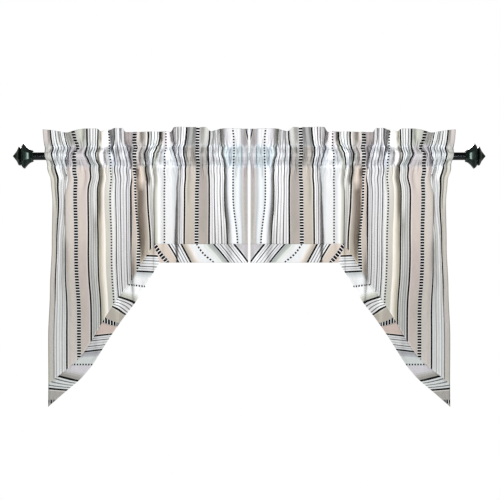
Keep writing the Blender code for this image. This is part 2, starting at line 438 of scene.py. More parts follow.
# The same on the border, by the place of its stripes: mostly painted shade and painted light of the border's
# folds, with the stripes' own tint
BORDER_TINTS_AND_SHADING = (
    (-62, 62, 66, 74), (-14, 86, 86, 88), (44, 62, 64, 60), (58, 80, 82, 78), (70, 84, 85, 86),
    (110, 94, 85, 82), (132, 88, 88, 90), (174, 86, 82, 80), (250, 86, 87, 88), (308, 94, 95, 96),
    (352, 108, 109, 110), (396, 84, 84, 84), (438, 59, 60, 58), (484, 80, 74, 72),
    (514, 76, 77, 78), (572, 62, 61, 64), (588, 70, 75, 74), (616, 72, 70, 74), (660, 82, 86, 86),
    (702, 62, 67, 68),
)


class Grain(NamedTuple):
    """A noise over the cloth: how it is stretched across and along, its slice, scale and detail."""

    across: float
    along: float
    third: float
    scale: float
    detail: float


FRAY = Grain(1.0, 0.25, 0.0, 1.6, 1.0)
SLUB = Grain(1.1, 0.02, 0.0, 1.0, 3.0)
CROSS_SLUB = Grain(0.02, 1.1, 7.0, 1.0, 3.0)
CRUMPLE = Grain(1.0, 1.0, 0.0, 0.045, 4.0)
PLEATS = Grain(1.0, 0.20, 5.0, 0.11, 2.0)
CAST_DRIFT = Grain(1.0, 0.16, 3.0, 0.022, 1.0)
BLEND_WANDER = Grain(1.0, 0.0, 9.0, 0.08, 2.0)
# Bands of the panel whose lines are washed towards a plain light grey below the rod's axis: painted
# light that lightens these fold walls, where the folds hide the lines: (start, end)
FOLD_WASHED_BANDS = ((402.0, 432.0), (666.0, 696.0), (784.0, 830.0))
# Cast of the taupe, from rosy to olive: (noise, colour)
CAST = ((0.36, (1.0, 0.955, 0.95)), (0.64, (0.96, 0.96, 0.90)))
# How the pocket's and the header's painted light and shade, and the fine pleats, fade down the cloth:
# (share of the run, display level)
POCKET_FADE = ((0.0, 255), (0.86, 255), (1.0, 0))
HEADER_FADE = ((0.0, 255), (1.0, 0))
PLEAT_FADE = ((0.0, 0), (0.12, 120), (0.35, 255), (0.7, 255), (1.0, 0))


class ClothRecipe(Recipe):
    """Shader tree of a striped cloth, which reads the piece's own UV map."""

    def __init__(self, name: str) -> None:
        """Start the material with its places across and along the stripes, in millimetres.

        Args:
            name: Name of the material.
        """
        super().__init__(name)
        cloth = self.node("ShaderNodeUVMap", {"uv_map": "cloth"})
        split = self.node("ShaderNodeSeparateXYZ", {}, {"Vector": cloth.outputs[0]})
        self.place, self.along = (Value(self, split.outputs[i]) / MM for i in range(2))

    def grain(self, grain: Grain) -> Value:
        """Noise from 0 to 1 over the cloth."""
        spot = self.vector(self.place * grain.across, self.along * grain.along, grain.third)
        return self.noise(spot, grain.scale, grain.detail)

    def stripes(self, spot: Value) -> Socket:
        """Colour the plain stripes.

        Args:
            spot: Place in the repeat.

        Returns:
            The colour's socket.
        """
        colour = None
        for band in BANDS:
            stops = [(start / band.width, tone) for start, tone in band.runs]
            own = self.ramp((spot - band.start) / band.width, stops)
            colour = own if colour is None else self.mixed(spot > band.start, colour, own)
        return colour

    def toned(self, colour: Socket, place: Value, tints: Tints, end: float, way: str = "CONSTANT") -> Socket:
        """Multiply a colour by tints laid out along a place, which also hold painted light and shade.

        Args:
            colour: Colour that is multiplied.
            place: Place that picks the tint.
            tints: Places that are passed, each with its tint in hundredths.
            end: Place of the last tint's far side.
            way: How the ramp goes from one tint to the next.

        Returns:
            The toned colour's socket.
        """
        start = tints[0][0]
        run = end - start
        stops = [((at - start) / run, tuple(level / 100 for level in tint)) for at, *tint in tints]
        return self.mixed(1.0, colour, self.ramp((place - start) / run, stops, way), "MULTIPLY")

    def figures(self, colour: Socket, spot: Value, along: Value, rung: float) -> Socket:
        """Weave the ladder, the row of dots and the fine dotted line over the stripes.

        Args:
            colour: Colour of the cloth.
            spot: Place in the repeat.
            along: Place along the stripes.
            rung: Share of the ladder's pitch that a rung fills.

        Returns:
            The colour's socket.
        """
        colour = self.mixed(abs(spot - LADDER.middle) < LADDER.half, colour, WHITE)
        for figure in (LADDER._replace(share=rung), DOTS, DOTTED):
            inside = abs(spot - figure.middle) < figure.half
            filled = along.cycle(figure.pitch) / figure.pitch < figure.share
            colour = self.mixed(inside * filled, colour, figure.tone)
        return colour


@dataclass(frozen=True)
class StripedCotton:
    """Matt plain-woven cotton, striped in white, taupe, grey and black, in millimetres."""

    name: str
    layout: StripeLayout
    rung: float = LADDER.share
    thread: float = 0.46
    roughness: float = 0.92
    fray: float = 0.7
    figure_fray: float = 0.5
    fold_wash: float = 0.45
    crumple_depth: float = 2.2
    crumple_strength: float = 0.55
    pleat_depth: float = 8.0
    pleat_strength: float = 0.9
    weave_depth: float = 0.10
    weave_strength: float = 0.5
    slub_depth: float = 0.08
    slub_strength: float = 0.6
    darkest: float = 0.90
    slub_lift: float = 0.10
    cross_lift: float = 0.06
    weave_lift: float = 0.04
    weave_gloss: float = 0.06
    sheen: float = 0.03
    sheen_roughness: float = 0.5
    specular: float = 0.10
    pleat_top: float = 100.0
    pleat_run: float = 190.0
    # Where the pocket's and the header's painted light and shade blend into the fall's, in millimetres
    pocket_top: float = 39.0
    pocket_blend: float = 80.0
    header_blend: float = 12.0
    blend_wander: float = 30.0

    def material(self) -> Finish:
        """Build the cloth's material.

        Returns:
            The material.
        """
        recipe = ClothRecipe(self.name)
        place, along = recipe.place, recipe.along
        fine = recipe.grain(FRAY) - 0.5
        spot = self._in_repeat(place + fine * self.fray)
        colour = self._tinted_and_shaded(recipe, recipe.stripes(spot), spot)
        colour = recipe.figures(colour, spot, along + fine * self.figure_fray, self.rung)
        turn = math.pi / self.thread
        weave = 0.5 + 0.5 * ((place * turn).sine() * (along * turn).sine())
        slub, cross = recipe.grain(SLUB), recipe.grain(CROSS_SLUB)
        normal = recipe.bump(recipe.grain(CRUMPLE), self.crumple_depth * MM, self.crumple_strength)
        if self.layout is StripeLayout.PANEL:
            gathered = recipe.fade((along + self.pleat_top) / self.pleat_run, PLEAT_FADE)
            pleats = recipe.grain(PLEATS) * gathered
            normal = recipe.bump(pleats, self.pleat_depth * MM, self.pleat_strength, normal)
        normal = recipe.bump(weave, self.weave_depth * MM, self.weave_strength, normal)
        normal = recipe.bump(slub + cross, self.slub_depth * MM, self.slub_strength, normal)
        lift = self.darkest + slub * self.slub_lift + cross * self.cross_lift + weave * self.weave_lift
        recipe.dress(
            {
                "Base Color": recipe.shaded(colour, lift),
                "Roughness": self.roughness - self.weave_gloss * weave,
                "Normal": normal,
                "Sheen Weight": self.sheen,
                "Sheen Roughness": self.sheen_roughness,
                "Specular IOR Level": self.specular,
            }
        )
        return recipe.material

    def _in_repeat(self, place: Value) -> Value:
        """Find a place within the stripe repeat.

        Args:
            place: Place across the stripes.

        Returns:
            The place from 0 to the repeat's length.
        """
        if self.layout is StripeLayout.BORDER:
            return (place - BORDER_START).cycle(REPEAT)
        spot = place + PANEL_START
        for passed, step in PANEL_STEPS:
            spot = spot + (place > passed) * step
        return spot

    def _tinted_and_shaded(self, recipe: ClothRecipe, colour: Socket, spot: Value) -> Socket:
        """Give the taupe its slow drift of cast, each stripe its tint, and the painted light and shade of
        the folds, the header, the pocket and the fall.

        Args:
            recipe: Tree that the nodes are added to.
            colour: Colour of the plain stripes.
            spot: Place in the repeat.

        Returns:
            The tinted colour's socket.
        """
        place, along = recipe.place, recipe.along
        cast = recipe.ramp(recipe.grain(CAST_DRIFT), CAST, "LINEAR")
        warm = recipe.mixed(1.0, colour, cast, "MULTIPLY")
        tinted = recipe.mixed(spot > LADDER_BAND.start, colour, warm)
        if self.layout is StripeLayout.BORDER:
            # The border's stripe tints and its painted shade and light
            return recipe.toned(tinted, place, BORDER_TINTS_AND_SHADING, PANEL_WIDTH)
        # Wash the lines on these fold walls towards light grey: painted light
        for start, end in FOLD_WASHED_BANDS:
            near = abs(place - (start + end) / 2) < (end - start) / 2
            tinted = recipe.mixed(near * (along > 0.0) * self.fold_wash, tinted, FOLD_WASH_TONE)
        # Each stripe's tint, with painted light and shade of the folds
        tinted = recipe.toned(tinted, place, PANEL_TINTS_AND_SHADING, PANEL_WIDTH)
        # Painted cool light over the pocket, and painted shade that darkens the fall towards the hem
        whole = recipe.toned(tinted, along, DOWN_PAINTED_SHADING, PANEL_LENGTH, "LINEAR")
        # The header's and the pocket's painted light and shade, blended in along a wandering edge
        wander = (recipe.grain(BLEND_WANDER) - 0.5) * self.blend_wander
        below = along + wander + self.pocket_top
        tinted = whole
        for tints, blend, stops in (
            (POCKET_PAINTED_SHADING, self.pocket_blend, POCKET_FADE),
            (HEADER_PAINTED_SHADING, self.header_blend, HEADER_FADE),
        ):
            own = recipe.toned(whole, place, tints, PANEL_WIDTH)
            tinted = recipe.mixed(recipe.fade(below / blend, stops), tinted, own)
        return tinted


@dataclass(frozen=True)
class SewingThread:
    """Off-white twisted sewing thread."""

    name: str = "sewing thread"
    colour: Colour = linear(226, 223, 216)
    fibre_scale: float = 2600.0
    fibre_depth: float = 0.05 * MM
    darkest: float = 0.86
    fibre_lift: float = 0.28
    roughness: float = 0.62
    fibre_roughness: float = 0.2
    sheen: float = 0.15

    def material(self) -> Finish:
        """Build the thread's material.

        Returns:
            The material.
        """
        recipe = Recipe(self.name)
        fibre = recipe.noise(recipe.here(), self.fibre_scale)
        recipe.dress(
            {
                "Base Color": recipe.shaded(self.colour, self.darkest + self.fibre_lift * fibre),
                "Roughness": self.roughness + self.fibre_roughness * fibre,
                "Normal": recipe.bump(fibre, self.fibre_depth),
                "Sheen Weight": self.sheen,
            }
        )
        return recipe.material


@dataclass(frozen=True)
class MetalPaint:
    """Dark paint on metal, with a soft gloss, fine orange peel and specks of dust."""

    name: str
    colour: Colour
    high_colour: Colour
    roughness: float
    metallic: float
    dust_colour: Colour = linear(70, 74, 72)
    dust: float = 0.35
    dust_start: float = 0.70
    dust_roughness: float = 0.25
    cloud_scale: float = 34.0
    cloud_tone: float = 0.8
    cloud_roughness: float = 0.16
    speck_scale: float = 2400.0
    peel_scale: float = 900.0
    peel_depth: float = 0.05 * MM
    peel_strength: float = 0.35
    specular: float = 0.3

    def material(self) -> Finish:
        """Build the paint's material on object coordinates.

        Returns:
            The material.
        """
        recipe = Recipe(self.name)
        where = recipe.here()
        cloud = recipe.noise(where, self.cloud_scale, 3.0)
        dust = (recipe.noise(where, self.speck_scale, 1.0) > self.dust_start) * self.dust
        tone = recipe.mixed(cloud * self.cloud_tone, self.colour, self.high_colour)
        rough = self.roughness + self.cloud_roughness * (cloud - 0.5) + self.dust_roughness * dust
        peel = recipe.noise(where, self.peel_scale)
        recipe.dress(
            {
                "Base Color": recipe.mixed(dust, tone, self.dust_colour),
                "Roughness": rough,
                "Metallic": self.metallic,
                "Specular IOR Level": self.specular,
                "Normal": recipe.bump(peel, self.peel_depth, self.peel_strength),
            }
        )
        return recipe.material


@dataclass(frozen=True)
class StudioPaper:
    """Plain pale paper of the studio floor."""

    name: str = "studio paper"
    level: float = 0.93
    mottle: float = 0.01
    mottle_scale: float = 180.0
    roughness: float = 0.95

    def material(self) -> Finish:
        """Build the paper's material.

        Returns:
            The material.
        """
        recipe = Recipe(self.name)
        shade = recipe.grey(self.level - self.mottle * recipe.noise(recipe.here(), self.mottle_scale))
        recipe.dress({"Base Color": shade, "Roughness": self.roughness, "Specular IOR Level": 0.0})
        return recipe.material


# --- how a panel hangs ---

FOLD_HEIGHTS = (0.085, 0.000, -0.145, -0.290, -0.600)
# The walls of the folds: (flat place, reach, turn in degrees at each of FOLD_HEIGHTS, lean in
# the header, lean in the fall), where a lean of 1 comes forward on the way outwards
# The places, reaches and turns are a solver's fit to where the stripes' edges hang, rounded
FOLDS = (
    (0.038, 0.038, -60, -60, -60, -68, -55, 1, 1), (0.107, 0.027, 68, 65, 69, 52, 48, -1, -1),
    (0.294, 0.025, -57, -74, -83, -82, -78, -1, -1), (0.334, 0.026, 61, 52, 37, 39, 55, 1, 1),
    (0.379, 0.022, -71, -66, -60, -62, -70, 0.5, 0.8),
    (0.412, 0.024, 56, 46, 71, 79, 80, -0.5, -0.3),
    (0.454, 0.021, -16, -28, -16, -16, -42, -1, -1), (0.505, 0.026, 70, 81, 74, 65, 82, -1, -0.7),
    (0.588, 0.032, -80, -80, -79, -81, -82, -1, 1), (0.669, 0.032, 42, 42, 41, 33, 35, 1, -1),
    (0.788, 0.031, -51, -60, -75, -54, -18, -1, -0.7),
    (0.833, 0.022, 29, 25, 63, 80, 66, -0.1, -0.1),
)
# Heights between which the lean of the walls passes from the fall's to the header's
LEAN_TURNS = (0.034, -0.020)
# Share of a wall's reach over which it keeps its whole turn
FLAT_TOP = 0.35
# Width of the hung panel and depth of its folds: (height, metres) and (height, share)
HUNG_WIDTH = (
    (0.09, 0.6755), (0.02, 0.6715), (-0.04, 0.663), (-0.08, 0.652), (-0.15, 0.647), (-0.29, 0.649),
    (-0.44, 0.655), (-0.6, 0.6605), (-0.83, 0.6595),
)
FOLD_DEPTH = (
    (0.09, 0.42), (0.03, 0.26), (-0.03, 0.26), (-0.1, 0.42), (-0.2, 0.54), (-0.83, 0.54),
)
# Top edge of the header: (flat place, height)
HEADER_TOP = (
    (0.0, 0.09), (0.11, 0.09), (0.168, 0.082), (0.186, 0.096), (0.296, 0.096), (0.318, 0.081),
    (0.502, 0.08), (0.526, 0.093), (0.59, 0.093), (0.648, 0.084), (0.668, 0.092), (0.706, 0.092),
    (0.765, 0.08), (0.86, 0.09),
)
# The seam of the border and its hem, as they hang: (distance out, drop)
SEAM_LINE = (
    (0.314, 0.29), (0.354, 0.349), (0.39, 0.411), (0.433, 0.466), (0.482, 0.542), (0.52, 0.608),
    (0.555, 0.661), (0.596, 0.698), (0.664, 0.752),
)
HEM_LINE = (
    (0.296, 0.351), (0.328, 0.403), (0.372, 0.478), (0.414, 0.531), (0.452, 0.586), (0.504, 0.668),
    (0.521, 0.695), (0.557, 0.736), (0.604, 0.775), (0.664, 0.8275),
)


def smooth(share: Grid) -> Grid:
    """Ease a share that runs from 0 to 1."""
    return share * share * (3 - 2 * share)


def between(places: Grid, at: Grid | float) -> tuple[Grid, Grid]:
    """Find where places fall in a rising list.

    Args:
        places: The list.
        at: Places to find.

    Returns:
        The row below each, and the eased share of the way to the next row.
    """
    at = np.clip(np.asarray(at, float), places[0], places[-1])
    row = np.clip(np.searchsorted(places, at, side="right") - 1, 0, len(places) - 2)
    return row, smooth((at - places[row]) / (places[row + 1] - places[row]))


def eased(table: Table, at: Grid | float) -> Grid:
    """Read a two-column table, easing from each row to the next.

    Args:
        table: Rows of (place, value).
        at: Places to read.

    Returns:
        The values at those places.
    """
    places, values = np.array(sorted(table), float).T
    row, share = between(places, at)
    return values[row] + share * (values[row + 1] - values[row])


# Values along each side of a soft noise's lattice, and where on it a sheet's corner lies
LATTICE = 256
LATTICE_START = (31.7, 67.3)


def soft_noise(across: Grid, down: Grid, cell: tuple[float, float], seed: int) -> Grid:
    """Smooth noise from -1 to 1 over a sheet.

    Args:
        across: Places across, in metres.
        down: Places down, in metres.
        cell: Size of the noise's cells across and down, in metres.
        seed: Seed of its lattice.

    Returns:
        The noise at each place.
    """
    lattice = np.random.default_rng(seed).uniform(-1, 1, (LATTICE, LATTICE))
    column, row = across / cell[0] + LATTICE_START[0], down / cell[1] + LATTICE_START[1]
    left, top = np.floor(column).astype(int), np.floor(row).astype(int)
    right_share, low_share = smooth(column - left), smooth(row - top)

    def corner(step_across: int, step_down: int) -> Grid:
        """Lattice values at one corner of each cell."""
        return lattice[(left + step_across) % LATTICE, (top + step_down) % LATTICE]

    upper = corner(0, 0) * (1 - right_share) + corner(1, 0) * right_share
    lower = corner(0, 1) * (1 - right_share) + corner(1, 1) * right_share
    return upper * (1 - low_share) + lower * low_share


@dataclass
class Hang:
    """The hung shape of one panel: where each place of the flat cloth is, at any height."""

    width: float = 0.860
    step: float = 0.002
    top: float = 0.100
    foot: float = -0.840
    levels: int = 95
    gap_half: float = 0.0040
    gap_on_rod: float = 0.0009
    gap_reach: float = 1.1 * UPPER_STITCH
    layer_half: float = 0.0013
    swell_depth: float = 0.0123
    turn_scales: tuple[float, float] = (0.5, 1.5)
    least_turn: float = 1e-6
    inside: float = 1.001
    width_rounds: int = 40
    line_rounds: int = 12
    flat: Grid = field(init=False)
    heights: Grid = field(init=False)
    out: Grid = field(init=False)
    forward: Grid = field(init=False)

    def __post_init__(self) -> None:
        """Work out the plan curve of the cloth at each height."""
        self.flat = np.arange(0, self.width + self.step / 2, self.step)
        self.heights = np.linspace(self.top, self.foot, self.levels)
        curves = [self._plan(height) for height in self.heights]
        self.out = np.array([curve[0] for curve in curves])
        self.forward = np.array([curve[1] for curve in curves])

    def walls(self, height: float) -> Line:
        """Work out how the walls of the folds turn at one height.

        Args:
            height: Height above the rod's axis.

        Returns:
            Angle of the cloth to the panel's plane, and which way it leans, from -1 to 1.
        """
        turn, lean = np.zeros_like(self.flat), np.zeros_like(self.flat)
        weight = np.full_like(self.flat, self.least_turn)
        head_share = float(np.interp(height, LEAN_TURNS[::-1], (0, 1)))
        for place, reach, *turns, header_lean, fall_lean in FOLDS:
            strength = float(eased(list(zip(FOLD_HEIGHTS, turns)), height))
            off = (np.abs(self.flat - place) / reach - FLAT_TOP) / (1 - FLAT_TOP)
            own = math.radians(strength) * 0.5 * (1 + np.cos(math.pi * np.clip(off, 0, 1)))
            turn += own
            lean += np.abs(own) * (head_share * header_lean + (1 - head_share) * fall_lean)
            weight += np.abs(own)
        return turn, lean / weight

    def _plan(self, height: float) -> Line:
        """Work out the plan curve at one height.

        Args:
            height: Height above the rod's axis.

        Returns:
            Outward places, and forward places about their mean.
        """
        target = float(eased(HUNG_WIDTH, height))
        turn, lean = self.walls(height)
        low, high = self.turn_scales
        for _ in range(self.width_rounds):
            scale = 0.5 * (low + high)
            if self._summed(np.cos(scale * turn))[-1] > target:
                low = scale
            else:
                high = scale
        out = self._summed(np.cos(scale * turn))
        forward = self._summed(np.sin(scale * np.abs(turn)) * lean)
        return out, (forward - forward.mean()) * float(eased(FOLD_DEPTH, height))

    def _summed(self, values: Grid) -> Grid:
        """Running integral along the flat cloth, from the centre edge."""
        steps = 0.5 * (values[1:] + values[:-1]) * self.step
        return np.concatenate([[0.0], np.cumsum(steps)])

    def read(self, values: Grid, place: Grid, height: Grid) -> Grid:
        """Read a field between its rows and columns.

        Args:
            values: Field of the hung cloth, one row for each height.
            place: Flat places.
            height: Heights above the rod's axis.

        Returns:
            The field's values there.
        """
        last_row, last_column = self.levels - self.inside, len(self.flat) - self.inside
        row = (self.top - height) / (self.top - self.foot) * (self.levels - 1)
        row, column = np.clip(row, 0, last_row), np.clip(place / self.step, 0, last_column)
        upper, left = row.astype(int), column.astype(int)
        down, right = row - upper, column - left
        above = values[upper, left] * (1 - right) + values[upper, left + 1] * right
        below = values[upper + 1, left] * (1 - right) + values[upper + 1, left + 1] * right
        return above * (1 - down) + below * down

    def centre_gap(self, height: Grid) -> Grid:
        """Half the gap between the two panels' centre edges."""
        on_rod = np.exp(-((height / self.gap_reach) ** 4))
        return self.gap_half + (self.gap_on_rod - self.gap_half) * on_rod

    def flat_place(self, out: float, height: float) -> float:
        """Flat place of the cloth that hangs at a distance out from the centre."""
        row = int(np.argmin(np.abs(self.heights - height)))
        return float(np.interp(out - self.centre_gap(np.array(height)), self.out[row], self.flat))

    def drop_to(self, line: Line, place: Grid) -> Grid:
        """Follow a line across the hung cloth.

        Args:
            line: Distances out and drops of the line as it hangs.
            place: Flat places.

        Returns:
            Drop at which the cloth at each place meets the line.
        """
        drop = np.full_like(place, line[1][0])
        for _ in range(self.line_rounds):
            drop = np.interp(self.centre_gap(-drop) + self.read(self.out, place, -drop), *line)
        return drop

    def points(self, place: Grid, height: Grid, layer: Grid, swell: Grid) -> Grid:
        """Hung positions, as (out, forward, height).

        Args:
            place: Flat places.
            height: Heights above the rod's axis.
            layer: 1 on the front layer, -1 on the back one, 0 where there is one.
            swell: 0 at a stitch line to about 1 where the cloth bears on the rod.

        Returns:
            An array with a last axis of three.
        """
        spots, runs = [], []
        for values in (self.out, self.forward):
            spots.append(self.read(values, place, height))
            ahead = self.read(values, place + self.step, height)
            runs.append(ahead - self.read(values, place - self.step, height))
        offset = layer * self.layer_half / np.hypot(*runs)
        level = np.argmin(np.abs(self.heights[:, None] - height.reshape(1, -1)), axis=0)
        level = level.reshape(height.shape)
        reach = np.where(layer > 0, -self.forward.min(axis=1)[level], self.forward.max(axis=1)[level])
        out = self.centre_gap(height) + spots[0] - offset * runs[1]
        forward = spots[1] + offset * runs[0] + layer * swell * (self.swell_depth + reach)
        return np.stack([out, forward, height], axis=-1)


# --- small creases ---

# Soft troughs down the cloth, on the header, on the pocket and down the fall, in millimetres:
# (flat place, half width towards the centre of the window, half width away from it, depth,
# height of the upper end above the rod's axis, height of the lower end, drift outwards on the
# way down). A negative depth makes a ridge
HEADER_CREASES = (
    (20, 16, 8, 5, 112, 26, 0), (62, 5, 10, 2, 112, 30, 0), (113, 15, 7, 12, 112, 26, 4),
    (133, 8, 5, 7, 112, 30, -2), (156, 10, 6, 9, 112, 30, 4), (176, 9, 6, 11, 112, 26, 3),
    (206, 18, 7, 11, 112, 30, 0), (232, 18, 5, 15, 112, 28, 0), (256, 16, 7, 15, 112, 26, 4),
    (283, 7, 6, 5, 100, 34, 0), (321, 16, 9, 20, 112, 28, -4), (352, 6, 13, -4, 112, 30, 0),
    (414, 28, 6, 20, 112, 34, -8), (436, 5, 6, 6, 90, 26, 0), (462, 9, 5, 10, 112, 28, 0),
    (483, 20, 8, 12, 112, 32, 0), (512, 12, 8, 12, 112, 24, 4), (497, 12, 5, 9, 112, 34, 0),
    (543, 7, 6, 10, 112, 34, 0), (560, 6, 10, -3, 112, 34, 0), (610, 17, 9, 19, 112, 26, -10),
    (634, 6, 13, -4, 112, 34, 0), (660, 6, 7, 6, 112, 36, -4), (690, 6, 10, -3, 112, 34, 0),
    (712, 6, 9, 5, 112, 40, 4), (785, 30, 10, 20, 112, 18, -14), (812, 8, 13, 4, 112, 26, 0),
    (846, 8, 10, 6, 112, 20, 0),
)
POCKET_CREASES = (
    (10, 10, 8, 4, 36, -40, 4), (34, 5, 8, 4, 30, -46, 0), (62, 8, 6, 4, 36, -10, 3),
    (92, 9, 8, 6, 34, -44, -4), (118, 7, 8, 9, 36, -70, 4), (146, 5, 9, -3, 24, -26, 0),
    (160, 5, 4, 4, 38, 0, 0), (178, 8, 6, 8, 38, -30, 3), (196, 6, 7, 7, 38, 4, 5),
    (214, 7, 10, -4, 22, -24, 0), (232, 8, 4, 7, 38, -40, 3), (252, 8, 6, 9, 40, -34, -4),
    (277, 6, 7, 6, 14, -60, 2), (305, 10, 9, 11, 42, -60, -4), (330, 5, 8, 6, 36, -10, -6),
    (350, 10, 18, -6, 24, -30, 0), (386, 11, 8, 13, 44, -26, 10), (418, 8, 12, -10, 28, -30, 0),
    (441, 6, 8, 12, 38, -40, -6), (458, 5, 6, 8, 38, -38, 3), (476, 5, 10, -4, 22, -26, 0),
    (494, 6, 4, 5, 38, -4, 4), (514, 9, 8, 12, 40, -74, -4), (545, 5, 10, -5, 24, -26, 0),
    (561, 6, 5, 5, 36, -12, 5), (586, 9, 8, 10, 42, -8, 12), (605, 4, 5, 5, 38, 6, 4),
    (620, 8, 12, -6, 22, -24, 0), (637, 5, 6, 7, 24, -44, 3), (659, 8, 8, 13, 38, -62, 0),
    (681, 5, 8, -6, 22, -26, 0), (704, 4, 6, 8, 34, -34, 4), (722, 8, 6, 4, 38, 2, 5),
    (737, 9, 15, -4, 22, -30, 0), (752, 6, 5, 5, 40, -8, 6), (772, 8, 8, 10, 38, -62, 6),
    (806, 8, 14, -4, 24, -26, 0), (826, 7, 5, 5, 36, -30, 4), (843, 6, 8, 8, 34, -52, 6),
)
FALL_CREASES = (
    (20, 16, 8, 5, -20, -330, 0), (64, 5, 8, 3, -28, -80, 2), (112, 7, 9, 6, -26, -280, 6),
    (212, 30, 50, 7, -24, -300, 0), (246, 7, 10, 4, -26, -180, 0), (296, 22, 8, 11, -26, -280, 4),
    (398, 13, 10, 8, -26, -115, 0), (436, 9, 16, 21, -24, -105, 4),
    (472, 13, 24, 18, -36, -400, 2), (463, 10, 8, 15, -105, -360, 6),
    (508, 12, 9, 8, -26, -100, 2), (533, 4, 8, 3, -26, -120, 0), (612, 4, 9, 3, -26, -140, 0),
    (660, 12, 12, 12, -24, -230, 3), (684, 25, 60, -9, -235, -700, 0),
    (118, 28, 34, -9, -180, -335, 0), (812, 16, 12, 9, -24, -85, 0), (470, 8, 12, 7, -22, -75, 0),
    (716, 5, 10, 3, -26, -130, 0), (766, 6, 12, 3, -20, -140, 8), (800, 18, 70, -7, -30, -330, 0),
    (846, 4, 9, 3, -26, -200, 0),
)
# How far the gathers pull the cloth outwards at each of PULL_HEIGHTS, in millimetres:
# (flat place, pulls)
PULL_HEIGHTS = (90, 60, 42, 28, 5, -15, -32, -50, -110, -300)
PULLS = (
    (0, 0, 0, 0, 0, 0, 0, 0, 0, 0, 0), (28, 0, 0, 0, 0, 0, 0, 0, 0, 0, -3),
    (72, 0, -2, -2, -1, 0, 1, 1, 1, 0, -8), (116, 16, 14, 11, 8, 9, 2, -1, -1, 0, -11),
    (145, 8, 6, 5, 5, 5, 3, 1, 0, 0, -6), (174, -2, -2, 0, 5, 4, 4, 3, 2, 0, 0),
    (212, -3, -2, -2, -1, -1, -2, -3, -3, 0, 0), (250, -7, -5, -3, 3, 3, 0, -3, -3, 0, 0),
    (308, -1, -3, -4, 4, -2, -7, -9, -10, -6, -9), (352, -8, -8, -7, -6, -1, 1, 1, 1, 0, 0),
    (396, -18, -17, -14, -5, 4, 9, 10, 5, 0, 0), (438, -2, -4, -4, -1, 5, 6, 5, 5, 3, 0),
    (476, 1, 2, 1, -3, 1, 3, 4, 5, 5, 0), (514, 17, 16, 14, 9, 2, -3, -7, -6, -2, 0),
    (545, 8, 8, 7, 5, 2, 0, 0, 0, 0, 0), (572, -2, -2, 1, 8, 4, 5, 5, 4, 1, 0),
    (616, 4, 2, 1, 4, 1, 1, 1, 0, 0, 0), (660, -5, -4, -3, 0, 5, 5, -2, -4, 0, 0),
    (702, 1, 1, 1, 4, 8, 2, -4, -6, 0, 0), (740, 8, 2, -5, -8, 4, 7, 8, 7, 2, 0),
    (778, 2, -2, -6, -10, -7, 2, 2, -2, 0, 0), (836, 5, 4, 3, 1, 6, 5, 1, -2, 0, 0),
    (860, 5, 4, 3, 2, 3, 2, 1, 0, 0, 0),
)
# Where the cloth is tucked together sideways, in millimetres: (flat place, reach, pull,
# height of the upper end, height of the lower end)
TUCKS = (
    (782, 9, 4.6, -18, -300), (834, 8, -3.0, -30, -500), (517, 6, -2.2, -20, -330),
    (399, 8, 2.4, -16, -330), (305, 8, 4.2, -14, -360), (476, 10, 3.0, -50, -330),
)


